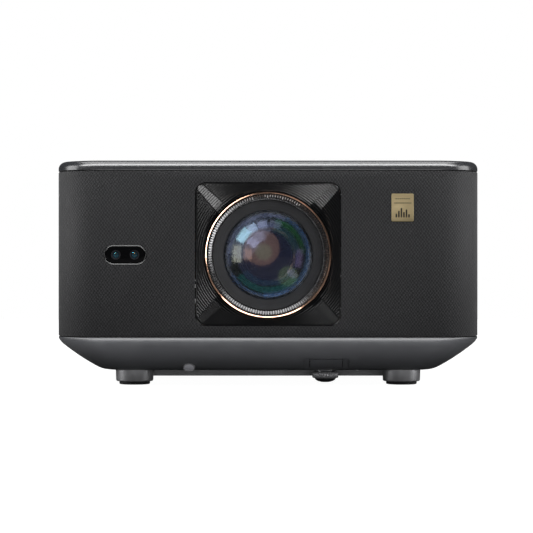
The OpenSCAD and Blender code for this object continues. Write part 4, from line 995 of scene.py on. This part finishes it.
def add_leaf_spring():
    """Bowed leaf behind the release tab; it grows less tall towards its ends."""
    centre, size = size_of("release_spring")
    near, far = depth_of("release_spring")
    bow = ((size.x / 2) ** 2 + size.y ** 2) / (2 * size.y)
    half = asin(size.x / 2 / bow)
    middle = Vector((centre.x, near + bow, centre.z))
    rings = []
    for i in range(33):
        angle = half * (i / 16 - 1)
        out = Vector((sin(angle), -cos(angle), 0))
        tall = size.z / 2 * (1 - 0.3 * (angle / half) ** 4)
        rings.append([middle + out * (bow - depth) + Z * rise
                      for depth, rise in [(0, -tall), (0, tall), (0.4, tall), (0.4, -tall)]])
    leaf = finish(bevel(loft("leaf_spring", rings), 0.08, 2), "steel", "release_spring", angle=40)
    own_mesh(leaf)


# ---- Feet ----

def feet_places():
    centre, size = size_of("foot_cups")
    radius = 12.4
    return [(centre.x + sx * (size.x / 2 - radius), centre.y + sy * (size.y / 2 - radius), 0)
            for sx in (-1, 1) for sy in (-1, 1)]


def add_feet():
    cup = [(1.7, 9.7), (12.4, 9.7), (12.37, 8.6), (12.1, 3.2), (12.0, 2.5), (11.6, 2.1), (11.2, 2.0), (10.3, 2.0),
           (10.15, 2.15), (10.15, 3.2), (1.7, 3.2)]
    pad = [(0, 0), (9.2, 0), (9.7, 0.12), (9.95, 0.5), (10.0, 1.0), (10.0, 3.1), (0, 3.1)]
    cups, pads = [], []
    for place in feet_places():
        cups.append(lathe("cup", cup, place, Z, 128))
        grooves = [lathe("groove", [(r, -1), (r + 0.9, -1), (r + 0.6, 0.35), (r + 0.3, 0.35)], place, Z, 96)
                   for r in (3.2, 5.6, 8.0)]
        pads.append(cut(lathe("pad", pad, place, Z, 128, close=False), *grooves))
    finish(join("feet_metal", cups), "foot_metal", "foot_cups", angle=30)
    finish(join("feet_rubber", pads), "pad_rubber", "foot_pads", angle=30)


def add_knob():
    """Fluted knob under the elevator leg, with a soft domed tip."""
    axis = upright("elevator_knob")[0]
    flutes = 28
    angles = around(flutes * 10)
    stations = [(3.0, 20, 0), (3.0, 8.3, 0), (7.6, 8.1, 0), (8.2, 7.7, 1), (8.5, 7.1, 1), (8.5, 4.7, 1),
                (8.2, 4.2, 1), (7.2, 4.0, 0), (6.9, 3.9, 0)]
    rings = []
    for radius, z, fluted in stations:
        radii = [radius - fluted * 0.22 * (1 + cos(flutes * a)) for a in angles]
        rings.append([axis + Vector((r * cos(a), r * sin(a), z)) for r, a in zip(radii, angles)])
    finish(loft("knob_fluted", rings), "foot_metal", "elevator_knob", body="knob", angle=50)
    tip = [(6.9, 4.2), (6.85, 3.8), (6.3, 2.9), (4.8, 2.0), (2.6, 1.45), (0, 1.3), (0, 4.4)]
    finish(lathe("knob_tip", tip, axis, Z, 96, close=False), "pad_rubber", body="knob")


# ---- Lid controls ----

KEYS = {"power_key": ("power_button", 6.5), "volume_down_key": ("volume_down_button", 5.5),
        "volume_up_key": ("volume_up_button", 5.5), "ok_key": ("ok_button", 6.0), "nav_key": ("nav_ring", 13.0)}


def add_panel():
    centre, size = size_of("control_panel")
    top = centre.z + size.z / 2
    middle = (centre.x, centre.y, 0)
    panel = prism("panel_glass", rounded_rect(size.x, size.y, 11.8, 16), top - 2.2, top, middle)
    for node, radius in KEYS.values():
        if node != "ok_button":
            cut(panel, drill(radius + 0.25, top - 5, top + 2, upright(node)[0], segments=96))
    tray = prism("panel_tray", rounded_rect(size.x - 0.6, size.y - 0.6, 11.5, 16), top - 8.2, top - 6.8, middle)
    finish(join("control_glass", [bevel(panel, 0.25), tray]), "gloss_black", "control_panel")


def add_keys():
    for body, (node, radius) in KEYS.items():
        place, bottom, top = upright(node)
        profile = [(radius + 1.2, bottom), (radius + 1.2, bottom + 1.1), (radius, bottom + 1.2),
                   (radius, top - 0.5), (radius - 0.15, top - 0.15), (radius - 0.5, top)]
        ring = node == "nav_ring"
        if ring:
            profile += [(radius - 1.6, top - 0.12), (8.0, top - 0.3), (6.6, top - 0.15), (6.3, top - 0.4),
                        (6.3, bottom)]
        else:
            profile += [(radius * 0.6, top - 0.22), (0, top - 0.3), (0, bottom)]
        key = lathe(body + "_cap", profile, place, Z, 160 if ring else 128, ring)
        finish(key, "ok_plastic" if node == "ok_button" else "key_plastic", node, body=body, angle=30)


def add_key_marks():
    """Power ring, plus, minus and direction dots, printed on the caps."""
    def bar(name, node, width, length, x=0, y=0):
        place, _, top = upright(node)
        outline = rounded_rect(width, length, min(width, length) / 2 - 0.01, 4)
        return prism(name, outline, top - 0.24, top - 0.14, place + Vector((x, y, 0)))

    minus = bar("minus_mark", "volume_down_button", 4, 0.6)
    plus = join("plus_mark", [bar("bar", "volume_up_button", 4, 0.6), bar("bar", "volume_up_button", 0.62, 4)])
    place, _, top = upright("power_button")
    middle = place + Z * (top - 0.22)
    rings = []
    for i in range(41):
        angle = radians(125 + 290 * i / 40)
        out = Vector((cos(angle), sin(angle), 0))
        rings.append([middle + out * r + Z * rise for r, rise in [(2.7, 0), (2.2, 0), (2.2, 0.1), (2.7, 0.1)]])
    power = join("power_mark", [loft("arc", rings), bar("stem", "power_button", 0.55, 2.6, y=2.0)])
    nav = join("nav_marks", [bar("dot", "nav_ring", 0.9, 0.9, 10.2 * x, 10.2 * y)
                             for x, y in [(1, 0), (0, 1), (-1, 0), (0, -1)]])
    for mark, body in [(minus, "volume_down_key"), (plus, "volume_up_key"), (power, "power_key"),
                       (nav, "nav_key")]:
        finish(mark, "key_plastic", body=body, material=light_ink)


# ---- Side grilles ----

def holed_plate(name, outline, holes, thickness):
    """Flat plate with round holes, lying in the XY plane."""
    curve = bpy.data.curves.new(name, "CURVE")
    curve.dimensions = "2D"
    curve.fill_mode = "BOTH"
    curve.extrude = thickness / 2 * MM
    for points in [outline] + holes:
        spline = curve.splines.new("POLY")
        spline.points.add(len(points) - 1)
        for point, (u, v) in zip(spline.points, points):
            point.co = (u * MM, v * MM, 0, 1)
        spline.use_cyclic_u = True
    source = linked(name + "_curve", curve)
    mesh = evaluated_mesh(source)
    bpy.data.objects.remove(source)
    return linked(name, mesh)


def add_grilles():
    centre, size = size_of("side_grilles")
    pitch, hole_r = 3.3, 1.15
    row = pitch * sqrt(3) / 2
    circle = [(hole_r * cos(a), hole_r * sin(a)) for a in around(12)]
    holes = []
    for j in range(-9, 10):
        for i in range(-11, 12):
            u, v = (i + 0.5 * (j % 2)) * pitch, j * row
            if edge_distance(u, v, size.y - 7, size.z - 7, 8) > hole_r:
                holes.append([(u + a, v + b) for a, b in circle])
    turn = Matrix.Rotation(radians(90), 4, "Z") @ Matrix.Rotation(radians(90), 4, "X")
    for name, side, replaced in [("grille_left", -1, ()), ("grille_right", 1, ["side_grilles"])]:
        plate = holed_plate(name, rounded_rect(size.y, size.z, 9.8), holes, 1.2)
        place = Vector((side * (size.x / 2 - 0.75), centre.y, centre.z)) * MM
        plate.data.transform(Matrix.Translation(place) @ turn)
        finish(plate, "grille_metal", *replaced, angle=30)


# ---- Floor ----

def add_floor():
    """Pale disc that looks white and returns only a little light to the object."""
    bpy.ops.mesh.primitive_circle_add(vertices=96, radius=1.6, fill_type="NGON", location=(0, 0, 0))
    floor = bpy.context.object
    floor.name = "floor"
    shade = Shade("pale_floor", (0.06, 0.06, 0.061), 0.9).tint((400, 2), 0.98, 1.02)
    seen = shade.add("ShaderNodeLightPath").outputs["Is Camera Ray"]
    glow = shade.add("ShaderNodeEmission", Color=(1, 1, 1, 1), Strength=shade.math("MULTIPLY", seen, 0.98))
    shade.blend("ShaderNodeAddShader", shade.shader.outputs[0], glow.outputs[0])
    floor.data.materials.append(shade.material)


# ---- Finishes for every slot ----

def plain(name, colour, roughness, tint, bump):
    """Even material with one pattern in its colour and one in its relief."""
    return Shade(name, colour, roughness).tint(*tint).bump(*bump).material


def circuit(name, mask, copper):
    """Solder mask over tracks and pads."""
    shade = Shade(name, mask, 0.35)
    tracks = shade.cells(2.4, (1, 1, 0.2), "DISTANCE_TO_EDGE")
    line = shade.math("LESS_THAN", tracks, 0.06)
    shade.ramp(shade.mixed(line, 0.6, shade.noise(1.1, 2), 0.3), [(0.1, mask), (0.75, copper)])
    return shade.bump(tracks, 0.03, 0.4).material


def print_ink(name, colour, roughness=0.5):
    return plain(name, colour, roughness, ((0.4, 3), 0.85, 1.1), ((0.2, 2), 0.01, 0.3))


def gold(name):
    shade = Shade(name, (0.72, 0.58, 0.33), 0.34, 1.0)
    lines = shade.noise(2.4, 6, (1, 1, 14))
    return shade.tint(lines, 0.93, 1.08).gloss((3, 4), 0.04, 0.08).bump(lines, 0.01, 0.25).material


def gloss_black(name, colour=(0.006, 0.006, 0.007), roughness=0.12):
    """Piano black with faint dust and waviness."""
    shade = Shade(name, colour, roughness).tint((8, 4), 0.85, 1.3)
    return shade.gloss((1.5, 6), 0.03, 0.06).bump((12, 2), 0.01, 0.15).material


def slot_finishes():
    """One procedural finish for each of the record's material slots."""
    table = {
        "lid_metal": (painted, (0.024, 0.025, 0.028), 0.27, 0.6, 0.0008, 0.0, 0.01,
                      {"Coat_Weight": 0.25, "Coat_Roughness": 0.2}),
        "gloss_black": (gloss_black,),
        "key_plastic": (moulded, (0.02, 0.02, 0.022), 0.42, 0.3, 0.02),
        "ok_plastic": (moulded, (0.05, 0.05, 0.054), 0.38, 0.3, 0.02),
        "housing_plastic": (moulded, (0.018, 0.018, 0.019), 0.6),
        "leatherette": (leatherette,),
        "base_paint": (painted, (0.034, 0.035, 0.038), 0.38, 0.35, 0.012,
                       {"Coat_Weight": 0.15, "Coat_Roughness": 0.3}),
        "plate_plastic": (moulded, (0.2, 0.203, 0.21), 0.5),
        "rear_plastic": (moulded, (0.024, 0.024, 0.026), 0.55, 0.5, 0.05),
        "copper": (turned, (0.86, 0.52, 0.36), 0.16, 0.25, 0.006),
        "index_black": (turned, (0.05, 0.05, 0.052), 0.26, 0.4, 0.01, 0.5),
        "coated_glass": (coated_glass, (0.7, 0.85, 1.0), 0.08),
        "sensor_glass": (gloss_black, (0.0008, 0.0008, 0.001), 0.06),
        "sensor_parts": (moulded, (0.02, 0.02, 0.024), 0.4, 0.2, 0.01),
        "badge_gold": (gold,),
        "led_lens": (print_ink, (0.75, 0.76, 0.78), 0.25),
        "foot_metal": (painted, (0.3, 0.3, 0.31), 0.36, 0.3, 0.01, 0.7),
        "pad_rubber": (plain, (0.011, 0.011, 0.012), 0.78, ((3, 4), 0.75, 1.4), ((0.25, 3), 0.03, 0.5)),
        "steel": (brushed, (0.55, 0.55, 0.57), 0.32, (1, 1, 10)),
        "insert_brass": (brushed, (0.72, 0.56, 0.3), 0.3, (8, 8, 1)),
        "grille_metal": (painted, (0.03, 0.03, 0.032), 0.45, 0.3, 0.02, 0.3),
        "gear_acetal": (moulded, (0.72, 0.7, 0.64), 0.4, 0.4, 0.01),
        "engine_casting": (painted, (0.24, 0.24, 0.25), 0.5, 0.8, 0.08, 0.8),
        "lcd_stack": (circuit, (0.02, 0.03, 0.05), (0.1, 0.12, 0.2)),
        "led_board": (circuit, (0.5, 0.42, 0.12), (0.8, 0.7, 0.3)),
        "copper_pipe": (brushed, (0.8, 0.45, 0.3), 0.28, (1, 10, 10)),
        "fin_aluminium": (brushed, (0.78, 0.79, 0.81), 0.35, (10, 10, 1)),
        "fan_plastic": (moulded, (0.017, 0.017, 0.018), 0.45, 0.4, 0.03),
        "filter_paper": (plain, (0.62, 0.63, 0.64), 0.95, ((0.8, 5), 0.75, 1.15), ((0.3, 4), 0.1, 0.6)),
        "main_pcb": (circuit, (0.012, 0.07, 0.035), (0.1, 0.3, 0.16)),
        "power_pcb": (circuit, (0.2, 0.13, 0.04), (0.5, 0.36, 0.14)),
        "cone_paper": (plain, (0.035, 0.035, 0.038), 0.8, ((1.2, 5), 0.7, 1.5), ((0.6, 4), 0.08, 0.5)),
        "socket_shell": (brushed, (0.62, 0.62, 0.64), 0.28, (1, 8, 1)),
    }
    made = {}
    for name, (make, *values) in table.items():
        extra = values.pop() if values and isinstance(values[-1], dict) else {}
        made[name] = make(name, *values, **extra)
    return made


def dress_cad_nodes():
    for entry in frame["record"]["subparts"]:
        mesh = nodes[entry["node"]].data
        mesh.materials.clear()
        mesh.materials.append(finishes[entry["material_slot"]])


# ---- Assembly ----

add_camera()
add_world()
add_floor()
finishes = slot_finishes()
light_ink = print_ink("light_ink", (0.55, 0.55, 0.56))
dress_cad_nodes()
for build in (add_lid, add_wrap, add_base, add_bezel, add_trim_ring, add_index_ring, add_hood, add_glass,
              add_barrel_rings, add_sensor, add_badge, add_ir_window, add_tab, add_leaf_spring, add_feet, add_knob,
              add_panel, add_keys, add_key_marks, add_grilles, add_lights):
    build()
